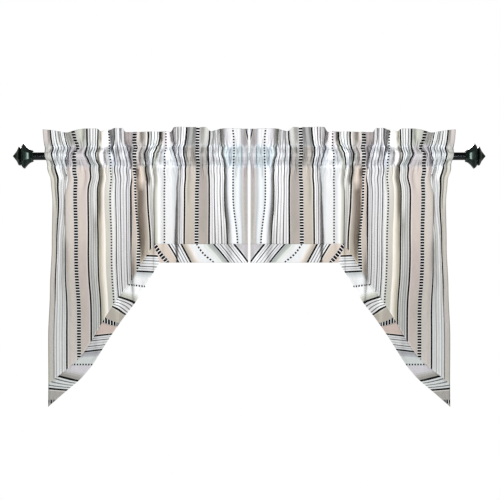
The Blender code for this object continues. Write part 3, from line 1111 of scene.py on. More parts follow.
@dataclass(frozen=True)
class Creases:
    """The small relief of a gathered panel, laid over its folds."""

    ripple: float = 0.9 * MM
    ripple_pitch: float = 0.0095
    ripple_reach: float = 0.011
    ripple_wander: float = 3.4
    stitch_sink: float = 2.4 * MM
    stitch_reach: float = 0.0028
    crumple: float = 0.55 * MM
    drag: float = 1.0 * MM
    drag_run: float = 0.10
    pucker: float = 0.30 * MM
    pucker_pitch: float = 0.013
    pucker_reach: float = 0.012
    onset: float = 0.012
    onset_share: float = 0.35
    low_onset: float = 0.11
    low_start: float = -0.15
    end_share: float = 0.4
    tuck_onset: float = 0.030
    tuck_end: float = 0.080
    pucker_wander: float = 2.0
    ripple_least: float = 0.55
    ripple_swing: float = 0.45
    sink_least: float = 0.25
    sink_swing: float = 1.6
    sink_most: float = 1.2

    # First noise seed of each stitch line
    LINE_SEEDS = ((UPPER_STITCH, 11), (LOWER_STITCH, 13))
    # Noise cells across and down the cloth: how ripples wander and vary, and stitches sink
    WANDER_CELL = (0.018, 0.030)
    UNEVEN_CELL = (0.030, 0.5)
    SINK_CELL = (0.007, 1.0)
    # Crumples: (share of their height, noise cell, seed)
    CRUMPLES = ((1.0, (0.030, 0.055), 21), (0.4, (0.011, 0.024), 22))
    # Noise cell and seed of the drags down the fall and of how the puckers wander
    DRAG_NOISE = ((0.036, 0.40), 23)
    PUCKER_NOISE = ((0.028, 1.0), 31)

    def gathers(self, place: Grid, height: Grid) -> Grid:
        """Push the cloth in and out along the creases.

        Args:
            place: Flat places.
            height: Heights above the rod's axis.

        Returns:
            How far each spot moves towards the room.
        """
        push = np.zeros_like(place)
        for row in HEADER_CREASES + POCKET_CREASES + FALL_CREASES:
            spot, inner, outer, depth, upper, lower, drift = (value * MM for value in row)
            length = upper - lower
            gone = np.clip((upper - height) / length, 0, 1)
            short = min(self.onset, self.onset_share * length)
            onset = short if upper > self.low_start else self.low_onset
            start = smooth(np.clip((upper - height) / onset, 0, 1))
            end = smooth(np.clip((height - lower) / (self.end_share * length), 0, 1))
            off = place - spot - drift * gone
            off = off / np.where(off < 0, inner, outer)
            push -= depth * start * end * np.exp(-(off**2))
        return push

    def pulls(self, place: Grid, height: Grid) -> Grid:
        """Draw the cloth sideways as the gathers and the tucks do.

        Args:
            place: Flat places.
            height: Heights above the rod's axis.

        Returns:
            How far each spot moves outwards along the rod.
        """
        places, *columns = (np.array(PULLS) * MM).T
        rows = np.array([eased(list(zip(places, column)), place) for column in columns[::-1]])
        row, share = between(np.array(PULL_HEIGHTS[::-1]) * MM, height)
        low, high = (np.take_along_axis(rows, row[None] + step, axis=0)[0] for step in (0, 1))
        drawn = low + (high - low) * share
        for row in TUCKS:
            spot, reach, pull, upper, lower = (value * MM for value in row)
            off = (place - spot) / reach
            start = np.clip((upper - height) / self.tuck_onset, 0, 1)
            end = np.clip((height - lower) / self.tuck_end, 0, 1)
            drawn -= pull * start * end * off * np.exp(0.5 - 0.5 * off**2)
        return drawn

    def on_cloth(self, place: Grid, height: Grid) -> Grid:
        """Work out the fine relief: ripples and sunk stitches at the pocket, and crumples.

        Args:
            place: Flat places.
            height: Heights above the rod's axis.

        Returns:
            How far the cloth stands out at each spot.
        """
        relief = np.zeros_like(place)
        for line, seed in self.LINE_SEEDS:
            off = height - line
            wander = self.ripple_wander * soft_noise(place, off, self.WANDER_CELL, seed)
            wave = np.cos(2 * math.pi * place / self.ripple_pitch + wander)
            near = np.exp(-((off / self.ripple_reach) ** 2))
            uneven = soft_noise(place, off, self.UNEVEN_CELL, seed + 1)
            relief += self.ripple * near * wave * (self.ripple_least + self.ripple_swing * uneven)
            deep = self.sink_least + self.sink_swing * soft_noise(place, 0 * off, self.SINK_CELL, seed + 2)
            deep = np.clip(deep, 0, self.sink_most)
            relief -= self.stitch_sink * deep * np.exp(-((off / self.stitch_reach) ** 2))
        for share, cell, seed in self.CRUMPLES:
            relief += share * self.crumple * soft_noise(place, height, cell, seed)
        below = np.clip((LOWER_STITCH - height) / self.drag_run, 0, 1)
        return relief + self.drag * below * soft_noise(place, height, *self.DRAG_NOISE)

    def at_seam(self, along: Grid, off: Grid) -> Grid:
        """Work out the puckers beside a seam.

        Args:
            along: Places along the seam.
            off: Distances off it.

        Returns:
            How far the cloth stands out at each spot.
        """
        wander = self.pucker_wander * soft_noise(along, 0 * off, *self.PUCKER_NOISE)
        wave = np.cos(2 * math.pi * along / self.pucker_pitch + wander)
        return self.pucker * wave * np.exp(-((off / self.pucker_reach) ** 2))


# --- meshes ---


def corner_values(values: Grid) -> Grid:
    """Values at the four corners of each quad of a grid, in the quads' corner order."""
    return np.stack([values[:-1, :-1], values[1:, :-1], values[1:, 1:], values[:-1, 1:]], axis=2)


# Length below which a vector counts as none
TINY = 1e-12


def grid_normals(points: Grid) -> Grid:
    """Unit normals of a grid of points."""
    normal = np.cross(np.gradient(points, axis=0), np.gradient(points, axis=1))
    return normal / np.maximum(np.linalg.norm(normal, axis=-1, keepdims=True), TINY)


def faced(normals: Grid, probe: tuple[int, int], way: int) -> Grid:
    """Turn normals round together so that the one at a probe points along Y in one way."""
    return normals * np.sign(way * normals[probe][1])


def made_piece(name: str, data: bpy.types.ID) -> Piece:
    """Put a mesh, a light or a camera in the scene."""
    piece = bpy.data.objects.new(name, data)
    bpy.context.scene.collection.objects.link(piece)
    return piece


def plain(piece: Piece) -> Piece:
    """Replace a piece's mesh with its evaluated one and take its modifiers off.

    Args:
        piece: The piece.

    Returns:
        The same piece.
    """
    graph = bpy.context.evaluated_depsgraph_get()
    made = bpy.data.meshes.new_from_object(piece.evaluated_get(graph), depsgraph=graph)
    made.name = piece.name
    old = piece.data
    piece.modifiers.clear()
    piece.data = made
    bpy.data.meshes.remove(old)
    return piece


@dataclass(frozen=True)
class Cloth:
    """Thickness of a cloth, single and where its hem is turned."""

    single: float = 0.75 * MM
    hemmed: float = 1.50 * MM
    hem_width: float = 0.012
    hem_step: float = 1.5 * MM

    def hem_share(self, off: Grid, width: float | None = None) -> Grid:
        """1 on a turned hem to 0 off it, from the distance to the cloth's edge."""
        return np.clip(((self.hem_width if width is None else width) - off) / self.hem_step + 0.5, 0, 1)

    def sheet(self, name: str, points: Grid, uv: Grid, hem: Grid, material: Finish) -> Piece:
        """Make a cloth sheet with its thickness from a grid of points.

        Args:
            name: Name of the piece.
            points: Grid of points down the middle of the cloth, shape (columns, rows, 3).
            uv: Flat place of each quad's corners, shape (columns - 1, rows - 1, 4, 2).
            hem: 0 on single cloth to 1 on a turned hem, shape (columns, rows).
            material: Finish of the cloth.

        Returns:
            The sheet as a piece with a plain mesh.
        """
        columns, rows = points.shape[:2]
        quads = corner_values(np.arange(columns * rows).reshape(columns, rows)).reshape(-1, 4)
        mesh = bpy.data.meshes.new(name)
        mesh.from_pydata(points.reshape(-1, 3).tolist(), [], quads.tolist())
        mesh.uv_layers.new(name="cloth").data.foreach_set("uv", uv.reshape(-1))
        mesh.materials.append(material)
        mesh.shade_smooth()
        piece = made_piece(name, mesh)
        group = piece.vertex_groups.new(name="hem")
        for vertex, weight in enumerate(hem.reshape(-1)):
            if weight > 0:
                group.add([vertex], float(weight), "REPLACE")
        solidify = piece.modifiers.new("cloth thickness", "SOLIDIFY")
        solidify.thickness = self.hemmed
        solidify.offset = 0
        solidify.vertex_group = group.name
        solidify.thickness_vertex_group = self.single / self.hemmed
        return plain(piece)


# --- stitching ---


class StitchTree(NodeTree):
    """Geometry Nodes that lay short thread stitches along the edges of a mesh."""

    # Sizes of a stitch by the tree's input
    SIZES = {"Pitch": 3.4 * MM, "Stitch Length": 2.7 * MM, "Thread Radius": 0.22 * MM}

    def __init__(self) -> None:
        """Build the tree with its named inputs."""
        super().__init__(bpy.data.node_groups.new("stitch row", "GeometryNodeTree"))
        self.made = self._socket("Geometry", "OUTPUT", "NodeSocketGeometry")
        self._socket("Geometry", "INPUT", "NodeSocketGeometry")
        self.inputs = {name: self._socket(name, "INPUT", "NodeSocketFloat") for name in self.SIZES}
        self.inputs["Thread"] = self._socket("Thread", "INPUT", "NodeSocketMaterial")
        self._build()

    def _socket(self, name: str, way: str, kind: str) -> str:
        """Identifier of a socket that is added to the tree."""
        return self.tree.interface.new_socket(name, in_out=way, socket_type=kind).identifier

    def _step(self, kind: str, sockets: dict | None = None, **settings: object) -> Socket:
        """First output of a node that is added to the tree."""
        return self.node(kind, settings, sockets).outputs[0]

    def _build(self) -> None:
        """Lay out the nodes."""
        given = self.node("NodeGroupInput").outputs
        route = self._step("GeometryNodeMeshToCurve", {"Mesh": given["Geometry"]})
        sockets = {"Curve": route, "Length": given["Pitch"]}
        spaced = self._step("GeometryNodeResampleCurve", sockets, mode="LENGTH")
        stitch = self._step("GeometryNodeMeshUVSphere", {"Segments": 6, "Rings": 4, "Radius": 1.0})
        sockets = {"Value": given["Stitch Length"], "Value_001": 0.5}
        half = self._step("ShaderNodeMath", sockets, operation="MULTIPLY")
        sockets = {"X": given["Thread Radius"], "Y": given["Thread Radius"], "Z": half}
        size = self._step("ShaderNodeCombineXYZ", sockets)
        shaped = self._step("GeometryNodeTransform", {"Geometry": stitch, "Scale": size})
        sockets = {"Vector": self._step("GeometryNodeInputTangent")}
        aim = self._step("FunctionNodeAlignRotationToVector", sockets, axis="Z")
        sockets = {"Points": spaced, "Instance": shaped, "Rotation": aim}
        laid = self._step("GeometryNodeInstanceOnPoints", sockets)
        real = self._step("GeometryNodeRealizeInstances", {"Geometry": laid})
        smooth_thread = self._step("GeometryNodeSetShadeSmooth", {"Geometry": real})
        sockets = {"Geometry": smooth_thread, "Material": given["Thread"]}
        self.node("NodeGroupOutput", {}, {self.made: self._step("GeometryNodeSetMaterial", sockets)})

    def sew(self, name: str, routes: Sequence[Grid], thread: Finish) -> Piece:
        """Make the stitches along some routes.

        Args:
            name: Name of the piece.
            routes: Points of each row of stitches, shape (points, 3).
            thread: Finish of the thread.

        Returns:
            All the stitches as one plain mesh.
        """
        points: list[list[float]] = []
        edges: list[tuple[int, int]] = []
        for route in routes:
            first = len(points)
            points += route.tolist()
            edges += [(first + i, first + i + 1) for i in range(len(route) - 1)]
        mesh = bpy.data.meshes.new(name)
        mesh.from_pydata(points, edges, [])
        piece = made_piece(name, mesh)
        modifier = piece.modifiers.new("stitches", "NODES")
        modifier.node_group = self.tree
        for label, value in (*self.SIZES.items(), ("Thread", thread)):
            modifier[self.inputs[label]] = value
        return plain(piece)


# --- sub-assemblies ---


@dataclass
class Drape:
    """One panel with its bias border and their sewing."""

    side: Side
    hang: Hang
    creases: Creases
    cloth: Cloth = Cloth()
    columns: int = 276
    evenness: float = 150.0
    back_end: float = -0.040
    back_hem: float = 0.006
    header_round: float = 0.0026
    header_cut: float = 0.015
    allowance: float = 0.008
    behind: float = 1.05 * MM
    behind_run: float = 2.5 * MM
    rod_clear: float = 0.35 * MM
    thread_lift: float = 0.06 * MM
    hem_ease: float = 0.70
    places: Grid = field(init=False)

    # The bias stripes along the seam on the level part: (distance out, stripe place, lean)
    LEVEL_STRIPES = (
        (0.0, -0.046, 0.78), (0.046, -0.014, 0.78), (0.121, 0.044, 0.9), (0.173, 0.088, 0.5),
        (0.221, 0.132, 0.5), (0.271, 0.174, 0.62), (0.314, 0.214, 0.37), (0.36, 0.264, 0.37),
    )
    # Length of the stripes for each metre of drop, or of travel outwards, on the level part
    BIAS_RUN = 0.59
    # Slope of the stripes on the tail: (stripe place, drop for each metre inwards)
    TAIL_SLOPE = (
        (0.25, 0.04), (0.33, 0.05), (0.396, 0.27), (0.438, 0.5), (0.476, 0.28), (0.514, -0.12),
        (0.572, -0.14), (0.616, 0.0), (0.66, 0.2), (0.702, 0.07), (0.74, 0.0),
    )
    # Drop of the tail's first stripe, its place, and the drop for each metre of stripes
    TAIL_START = (0.326, 0.250)
    TAIL_STRETCH = 0.988
    # Points of a softened line, and rounds of softening
    LINE_SPOTS = 120
    LINE_ROUNDS = 12
    # Shares of a point and of each neighbour in one round
    LINE_SHARES = (0.5, 0.25)
    # Place where the header is as high as the cloth's length allows for
    HIGH_HEADER = 0.2
    # Where the cut at the header's centre edge starts, its run upwards and its reach outwards
    CUT_START = 0.045
    CUT_RUN = 0.045
    CUT_REACH = 0.025
    # Rows of the panel in its pocket and header, on the back and on the front
    BACK_ROWS = (15, 10)
    FRONT_ROWS = (29, 24)
    # Rows below the back's pocket, round the header's top and down the fall
    END_ROWS = 6
    TOP_ROWS = 7
    FALL_ROWS = 78
    # Rows of the border in its allowance and below the seam
    ALLOWANCE_ROWS = 4
    BORDER_ROWS = 24
    # How the rows crowd towards the stitch line and spread from the seam
    FALL_CROWD = 1.08
    BORDER_CROWD = 0.9
    # How steeply the pocket swells, and the border eases flat and comes out from behind
    SWELL_CROWD = 1.6
    EASE_CROWD = 0.6
    BEHIND_CROWD = 0.7
    # A row of the panel's front and one of the border, which tell how a grid faces
    FRONT_ROW = -20
    BORDER_ROW = 10

    def __post_init__(self) -> None:
        """Work out the lines that the border and the columns follow."""
        bend = np.abs(np.gradient(self.hang.walls(FOLD_HEIGHTS[2])[0], self.hang.step))
        crowd = np.concatenate([[0], np.cumsum(self.evenness + 0.5 * (bend[1:] + bend[:-1]))])
        self.places = np.interp(np.linspace(0, crowd[-1], self.columns), crowd, self.hang.flat)
        self.seam_line, self.hem_line = self._softened(SEAM_LINE), self._softened(HEM_LINE)
        self.seam_corner = self.hang.flat_place(SEAM_LINE[0][0], -SEAM_LINE[0][1])
        self.hem_corner = self.hang.flat_place(HEM_LINE[0][0], -HEM_LINE[0][1])

    def _softened(self, line: Table) -> Line:
        """Resample a hung line finely between its ends and ease its corners.

        Args:
            line: Rows of (distance out, drop).

        Returns:
            Distances out, and drops.
        """
        outs, drops = np.array(line).T
        fine = np.linspace(outs[0], outs[-1], self.LINE_SPOTS)
        drops = np.interp(fine, outs, drops)
        own, next_to = self.LINE_SHARES
        for _ in range(self.LINE_ROUNDS):
            drops[1:-1] = next_to * drops[:-2] + own * drops[1:-1] + next_to * drops[2:]
        return fine, drops

    def world(self, points: Grid) -> Grid:
        """Turn (out, forward, height) into the frame's axes."""
        return points * np.array([self.side.value, -1.0, 1.0])

    def build(self, cloth: Finish, bias: Finish, thread: Finish, tree: StitchTree) -> list[Piece]:
        """Make the panel, the border and the sewing.

        Args:
            cloth: Finish of the panel.
            bias: Finish of the border.
            thread: Finish of the sewing.
            tree: Geometry Nodes that lay the stitches.

        Returns:
            The three pieces.
        """
        panel, panel_rows, panel_area = self._panel(cloth)
        border, border_row, border_area = self._border(bias)
        word = self.side.word
        sewing = tree.sew(f"sewing_{word}", [*panel_rows, border_row], thread)
        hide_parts(f"drape_{word}")
        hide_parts(f"border_{word}")
        for piece, slot in ((panel, "striped_cloth"), (border, "bias_border"), (sewing, "striped_cloth")):
            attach(piece, BODY)
        width = self.hang.width
        length = float(2 * eased(HEADER_TOP, self.HIGH_HEADER) - self.back_end + SEAM_LINE[-1][1])
        seam = self.seam_corner + (width - self.seam_corner) * math.sqrt(2)
        return [panel, border, sewing]

    def _panel_rows(self, seam_drop: Grid, top: Grid) -> tuple[Grid, ...]:
        """Rows of the panel, up the back, over the header's top and down the front.

        Args:
            seam_drop: Drop of the seam at each column.
            top: Height of the header's top at each column.

        Returns:
            Heights, layers, swells and places down the cloth, each (columns, rows).
        """
        ones = np.ones_like(top)[:, None]
        rise = (top - self.header_round)[:, None]
        back, back_swell = self._climb(rise, *self.BACK_ROWS)
        front, front_swell = self._climb(rise, *self.FRONT_ROWS)
        end = np.linspace(self.back_end, LOWER_STITCH, self.END_ROWS)[:-1]
        around = np.linspace(-0.5 * math.pi, 0.5 * math.pi, self.TOP_ROWS)
        over = rise + self.header_round * np.cos(around)
        share = np.linspace(0, 1, self.FALL_ROWS)[1:] ** self.FALL_CROWD
        fall = LOWER_STITCH + share * (-seam_drop[:, None] - LOWER_STITCH)
        heights = np.concatenate([ones * end, back, over, front[:, ::-1], fall], axis=1)
        behind = -np.ones(len(end) + back.shape[1])
        ahead = np.concatenate([np.ones(front.shape[1]), np.clip(1 - 3 * share, 0, 1)])
        layers = ones * np.concatenate([behind, np.sin(around), ahead])
        swells = [0 * end, back_swell, 0 * around, front_swell[::-1], 0 * share]
        down = np.where(layers < 0, heights - 2 * top[:, None], -heights)
        return heights, layers, ones * np.concatenate(swells), down

    def _climb(self, rise: Grid, pocket_rows: int, header_rows: int) -> Line:
        """Heights and swells up one layer, from the lower stitch line to the header's top.

        Args:
            rise: Height of the header's top at each column.
            pocket_rows: Rows between the stitch lines.
            header_rows: Rows above them.

        Returns:
            Heights, shape (columns, rows), and swells, shape (rows).
        """
        pocket = np.linspace(LOWER_STITCH, UPPER_STITCH, pocket_rows)
        share = np.linspace(0, 1, header_rows + 1)[1:-1]
        heights = UPPER_STITCH + share * (rise - UPPER_STITCH)
        swell = np.sin(math.pi * np.linspace(0, 1, pocket_rows)) ** self.SWELL_CROWD
        both = np.concatenate([np.ones_like(rise) * pocket, heights], axis=1)
        return both, np.concatenate([swell, 0 * share])

    def _panel(self, cloth: Finish) -> tuple[Piece, list[Grid], float]:
        """Make the panel.

        Args:
            cloth: Finish of the panel.

        Returns:
            The panel, the routes of its stitches, and its flat area.
        """
        seam_drop = self.hang.drop_to(self.seam_line, self.places)
        heights, layers, swells, down = self._panel_rows(seam_drop, eased(HEADER_TOP, self.places))
        place = np.repeat(self.places[:, None], heights.shape[1], axis=1)
        points = self.hang.points(place, heights, layers, swells)
        facing = grid_normals(points) * np.where(layers < 0, -1.0, 1.0)[..., None]
        facing = faced(facing, (self.columns // 2, self.FRONT_ROW), 1)
        front_fall = (layers >= 0) & (heights < LOWER_STITCH)
        puckers = np.where(front_fall, self.creases.at_seam(place, heights + seam_drop[:, None]), 0)
        points = self._clear_of_rod(self._relieved(points, place, heights, facing, puckers), layers)
        side_hems = self.cloth.hem_share(np.minimum(place, self.hang.width - place))
        back_hem = self.cloth.hem_share(heights - self.back_end, self.back_hem)
        hem = np.maximum(side_hems, np.where(layers < 0, back_hem, 0))
        uv = np.stack([corner_values(self._cut_place(place, heights)), corner_values(down)], axis=-1)
        spots = self.world(points)
        piece = self.cloth.sheet(f"panel_{self.side.word}", spots, uv, hem, cloth)
        lengths = np.abs(np.diff(down, axis=1)).sum(axis=1)[:-1]
        area = float((lengths * np.diff(self.places)).sum())
        return piece, self._panel_routes(spots, layers, heights), area

    def _relieved(self, points: Grid, place: Grid, height: Grid, facing: Grid, own: Grid) -> Grid:
        """Lay the gathers, the creases and the fine relief over hung points.

        Args:
            points: The hung points.
            place: Their flat places.
            height: Their heights.
            facing: Which way the front of the cloth faces at each.
            own: Relief of this piece alone.

        Returns:
            The moved points.
        """
        moved = points.copy()
        moved[..., 0] += self.creases.pulls(place, height)
        moved[..., 1] += self.creases.gathers(place, height)
        return moved + facing * (self.creases.on_cloth(place, height) + own)[..., None]

    def _clear_of_rod(self, points: Grid, layers: Grid) -> Grid:
        """Push the pocket's layers off the rod where they would sink into it.

        Args:
            points: Points of the panel.
            layers: 1 on the front layer and -1 on the back one.

        Returns:
            The moved points.
        """
        least = ROD_RADIUS + self.rod_clear + 0.5 * self.cloth.hemmed
        height, forward = points[..., 2], points[..., 1]
        depth = np.sqrt(np.clip(least**2 - height**2, 0, None))
        beside = np.abs(height) < least
        pushed = points.copy()
        forward = np.where((layers > 0) & beside, np.maximum(forward, depth), forward)
        pushed[..., 1] = np.where((layers < 0) & beside, np.minimum(forward, -depth), forward)
        return pushed

    def _cut_place(self, place: Grid, heights: Grid) -> Grid:
        """Place across the stripes: the header's centre edge is cut a little into the next stripe."""
        up = np.clip((heights - self.CUT_START) / self.CUT_RUN, 0, 1)
        return place - self.header_cut * np.exp(-place / self.CUT_REACH) * up

    def _panel_routes(self, spots: Grid, layers: Grid, heights: Grid) -> list[Grid]:
        """Routes of the stitches on both pocket lines, seen on both sides, and on the side hems.

        Args:
            spots: Points of the panel.
            layers: 1 on the front layer and -1 on the back one.
            heights: Heights of the points before they were relieved.

        Returns:
            The points of each route.
        """
        normals = faced(grid_normals(spots), (self.columns // 2, self.FRONT_ROW), -1)
        cloth = self.cloth

        def row_at(line: float, layer: int) -> int:
            """Row of a layer that is nearest to a height."""
            return int(np.argmin(np.where(layers[0] == layer, np.abs(heights[0] - line), np.inf)))

        lift = 0.5 * cloth.single + self.thread_lift
        lines = [row_at(line, layer) for line in (UPPER_STITCH, LOWER_STITCH) for layer in (1, -1)]
        routes = [spots[:, row] + normals[:, row] * lift for row in lines]
        first = row_at(LOWER_STITCH, 1)
        lift = 0.5 * cloth.hemmed + self.thread_lift
        for place in (cloth.hem_width - MM, self.hang.width - cloth.hem_width + MM):
            column = int(np.argmin(np.abs(self.places - place)))
            routes.append(spots[column, first:] + normals[column, first:] * lift)
        return routes

    def _border(self, bias: Finish) -> tuple[Piece, Grid, float]:
        """Make the border.

        Args:
            bias: Finish of the border.

        Returns:
            The border, the route of its stitches, and its flat area.
        """
        width, seam_corner = self.hang.width, self.seam_corner
        level = self.places[self.places < seam_corner - MM]
        tail = self.places[self.places > seam_corner + MM]
        places = np.concatenate([level, [seam_corner], tail])
        corner = len(level)
        past = np.clip((places - seam_corner) / (width - seam_corner), 0, 1)
        before = places * self.hem_corner / seam_corner
        beyond = self.hem_corner + past * (width - self.hem_corner)
        hem_places = np.where(places < seam_corner, before, beyond)
        seam_drop = self.hang.drop_to(self.seam_line, places)
        hem_drop = self.hang.drop_to(self.hem_line, hem_places)
        depth = np.hypot(hem_places - places, hem_drop - seam_drop)[:, None]
        off = np.linspace(0, 1, self.BORDER_ROWS) ** self.BORDER_CROWD * depth
        tucked = np.linspace(-self.allowance, -MM, self.ALLOWANCE_ROWS)
        off = np.concatenate([tucked + 0 * depth, off], axis=1)
        share = off / depth
        across = np.clip(places[:, None] + share * (hem_places - places)[:, None], 0, width)
        drop = seam_drop[:, None] + share * (hem_drop - seam_drop)[:, None]
        points = self.hang.points(across, -drop, 0 * across, 0 * across)
        points[..., 1] *= 1 - self.hem_ease * np.clip(share, 0, 1) ** self.EASE_CROWD
        facing = faced(grid_normals(points), (corner // 2, self.BORDER_ROW), 1)
        sunk = self.behind * (1 - np.clip(off / self.behind_run, 0, 1) ** self.BEHIND_CROWD)
        own = self.creases.at_seam(across, off) - sunk
        points = self._relieved(points, across, -drop, facing, own)
        uv = self._border_uv(points, across, drop, off, corner)
        edge_hems = self.cloth.hem_share(np.minimum(across, width - across))
        hem = np.maximum(edge_hems, self.cloth.hem_share(depth - off))
        spots = self.world(points)
        piece = self.cloth.sheet(f"border_strip_{self.side.word}", spots, uv, hem, bias)
        area = float((depth[:-1, 0] * np.diff(places)).sum() + self.allowance * width)
        return piece, self._hem_route(spots, off, depth[:, 0]), area

    def _border_uv(self, points: Grid, across: Grid, drop: Grid, off: Grid, corner: int) -> Grid:
        """Flat place of the bias stripes on the border.

        The stripes slant down towards the centre on the level part and run level on the
        tail, and the two meet at the mitre.

        Args:
            points: Grid of points.
            across: Flat place of each point.
            drop: Drop of each point below the rod.
            off: Distance of each point from the seam.
            corner: Column of the mitre.

        Returns:
            Flat places of each quad's corners.
        """
        hung = points[..., 0]
        outs, stripes, leans = np.array(self.LEVEL_STRIPES).T
        met = hung + np.interp(hung, outs, leans) * off
        level = (np.interp(met, outs, stripes), (off - hung) * self.BIAS_RUN)
        start_drop, start_place = self.TAIL_START
        first = start_place + (drop - start_drop) / self.TAIL_STRETCH
        edges = [np.interp(drop, line[1], line[0]) for line in (self.seam_line, self.hem_line)]
        tail = (first - eased(self.TAIL_SLOPE, first) * (0.5 * sum(edges) - hung), across)
        level_uv, tail_uv = (np.stack([corner_values(a) for a in part], axis=-1) for part in (level, tail))
        return np.concatenate([level_uv[:corner], tail_uv[corner:]], axis=0)

    def _hem_route(self, spots: Grid, off: Grid, depth: Grid) -> Grid:
        """Route of the stitches along the border's hem.

        Args:
            spots: Points of the border.
            off: Their distances from the seam.
            depth: Depth of the border at each column.

        Returns:
            Points of the route.
        """
        normals = faced(grid_normals(spots), (len(spots) // 4, self.BORDER_ROW), -1)
        surface = spots + normals * (0.5 * self.cloth.hemmed + self.thread_lift)
        route = []
        for column, wanted in enumerate(depth - self.cloth.hem_width + MM):
            route.append([np.interp(wanted, off[column], surface[column, :, axis]) for axis in range(3)])
        return np.array(route)


@dataclass
class RodSet:
    """The rod and its two stepped octagonal finials."""

    sides: int = 72
    finial_sides: int = 8
    fit: float = 0.0003
    end_ease: float = 0.6 * MM
    edge: float = 0.7 * MM
    edge_steps: int = 3
    edge_angle: float = 12.0
    sharp_angle: float = 22.0
    # (distance out from the rod's end, distance from the axis to each flat), tip first
    PROFILE = (
        (0.068, 0.0), (0.0592, 0.01), (0.0532, 0.0175), (0.047, 0.03), (0.0432, 0.0308),
        (0.04, 0.0258), (0.038, 0.03), (0.0365, 0.033), (0.0306, 0.0402), (0.0288, 0.0404),
        (0.0185, 0.0285), (0.0105, 0.0222), (0.005, 0.0196), (0.0, 0.0186),
    )

    def rod(self, paint: Finish) -> Piece:
        """Make the round rod with eased ends.

        Args:
            paint: Finish.

        Returns:
            The rod.
        """
        ease = self.end_ease
        half = [(ROD_HALF, 0.0), (ROD_HALF, ROD_RADIUS - ease), (ROD_HALF - ease, ROD_RADIUS)]
        profile = half + [(-out, radius) for out, radius in half[::-1]]
        piece = self._turned("rod_tube", profile, self.sides, 0.0, 1, 0.0, paint)
        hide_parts("rod")
        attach(piece, BODY)
        return piece

    def finial(self, side: Side, paint: Finish) -> Piece:
        """Make one finial.

        Args:
            side: Which end of the rod.
            paint: Finish.

        Returns:
            The finial.
        """
        start = math.pi / self.finial_sides
        profile = [(out, flat / math.cos(start)) for out, flat in (*self.PROFILE, (0.0, 0.0))]
        name = f"finial_knob_{side.word}"
        shift = ROD_HALF + self.fit
        piece = self._turned(name, profile, self.finial_sides, start, side.value, shift, paint)
        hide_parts(f"finial_{side.word}")
        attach(piece, BODY)
        return piece

    def _turned(
        self, name: str, profile: Table, sides: int, start: float, way: int, shift: float, paint: Finish
    ) -> Piece:
        """Make a turned piece about the rod's axis.

        Args:
            name: Name of the piece.
            profile: Rows of (distance along the axis, radius), tip first.
            sides: Number of sides.
            start: Angle of the first corner.
            way: 1 if the profile's distances run along +X, else -1.
            shift: Added to the profile's distances.
            paint: Finish.

        Returns:
            The piece with a plain mesh.
        """
        build = bmesh.new()
        rings = []
        for out, radius in profile:
            ring = []
            for i in range(sides if radius > 0 else 1):
                angle = start + 2 * math.pi * i / sides
                spot = (way * (out + shift), radius * math.cos(angle), radius * math.sin(angle))
                ring.append(build.verts.new(spot))
            rings.append(ring)
        for upper, lower in zip(rings, rings[1:]):
            for i in range(sides):
                loop = [upper[i % len(upper)], upper[(i + 1) % len(upper)]]
                loop += [lower[(i + 1) % len(lower)], lower[i % len(lower)]]
                build.faces.new(list(dict.fromkeys(loop)))
        bmesh.ops.recalc_face_normals(build, faces=build.faces)
        mesh = bpy.data.meshes.new(name)
        build.to_mesh(mesh)
        build.free()
        mesh.materials.append(paint)
        mesh.shade_smooth()
        mesh.set_sharp_from_angle(angle=math.radians(self.sharp_angle))
        piece = made_piece(name, mesh)
        if sides == self.finial_sides:
            bevel = piece.modifiers.new("eased edges", "BEVEL")
            bevel.width = self.edge
            bevel.segments = self.edge_steps
            bevel.limit_method = "ANGLE"
            bevel.angle_limit = math.radians(self.edge_angle)
            bevel.harden_normals = True
        return plain(piece)


class Softbox(NamedTuple):
    """A square soft light: its place, the point that it faces, its side, power and colour."""

    place: Spot
    aim: Spot
    size: float
    power: float
    colour: Colour = (1.0, 1.0, 1.0)

    def hang(self, name: str, only: Sequence[Piece] = ()) -> Piece:
        """Hang the light.

        Args:
            name: Name of the light.
            only: The pieces that it falls on, if not on all.

        Returns:
            The lamp.
        """
        light = bpy.data.lights.new(name, "AREA")
        light.size = self.size
        light.energy = self.power
        light.color = self.colour
        lamp = made_piece(name, light)
        lamp.location = self.place
        way = Vector(self.aim) - Vector(self.place)
        lamp.rotation_euler = way.to_track_quat("-Z", "Y").to_euler()
        if only:
            lit = bpy.data.collections.new(f"lit by {name}")
            for piece in only:
                lit.objects.link(piece)
            lamp.light_linking.receiver_collection = lit
        return lamp

    def on_side(self, side: Side) -> "Softbox":
        """The same light, which hangs for the right side, as it hangs for a side."""
        flip = [(side.value * across, deep, up) for across, deep, up in (self.place, self.aim)]
        return self._replace(place=flip[0], aim=flip[1])


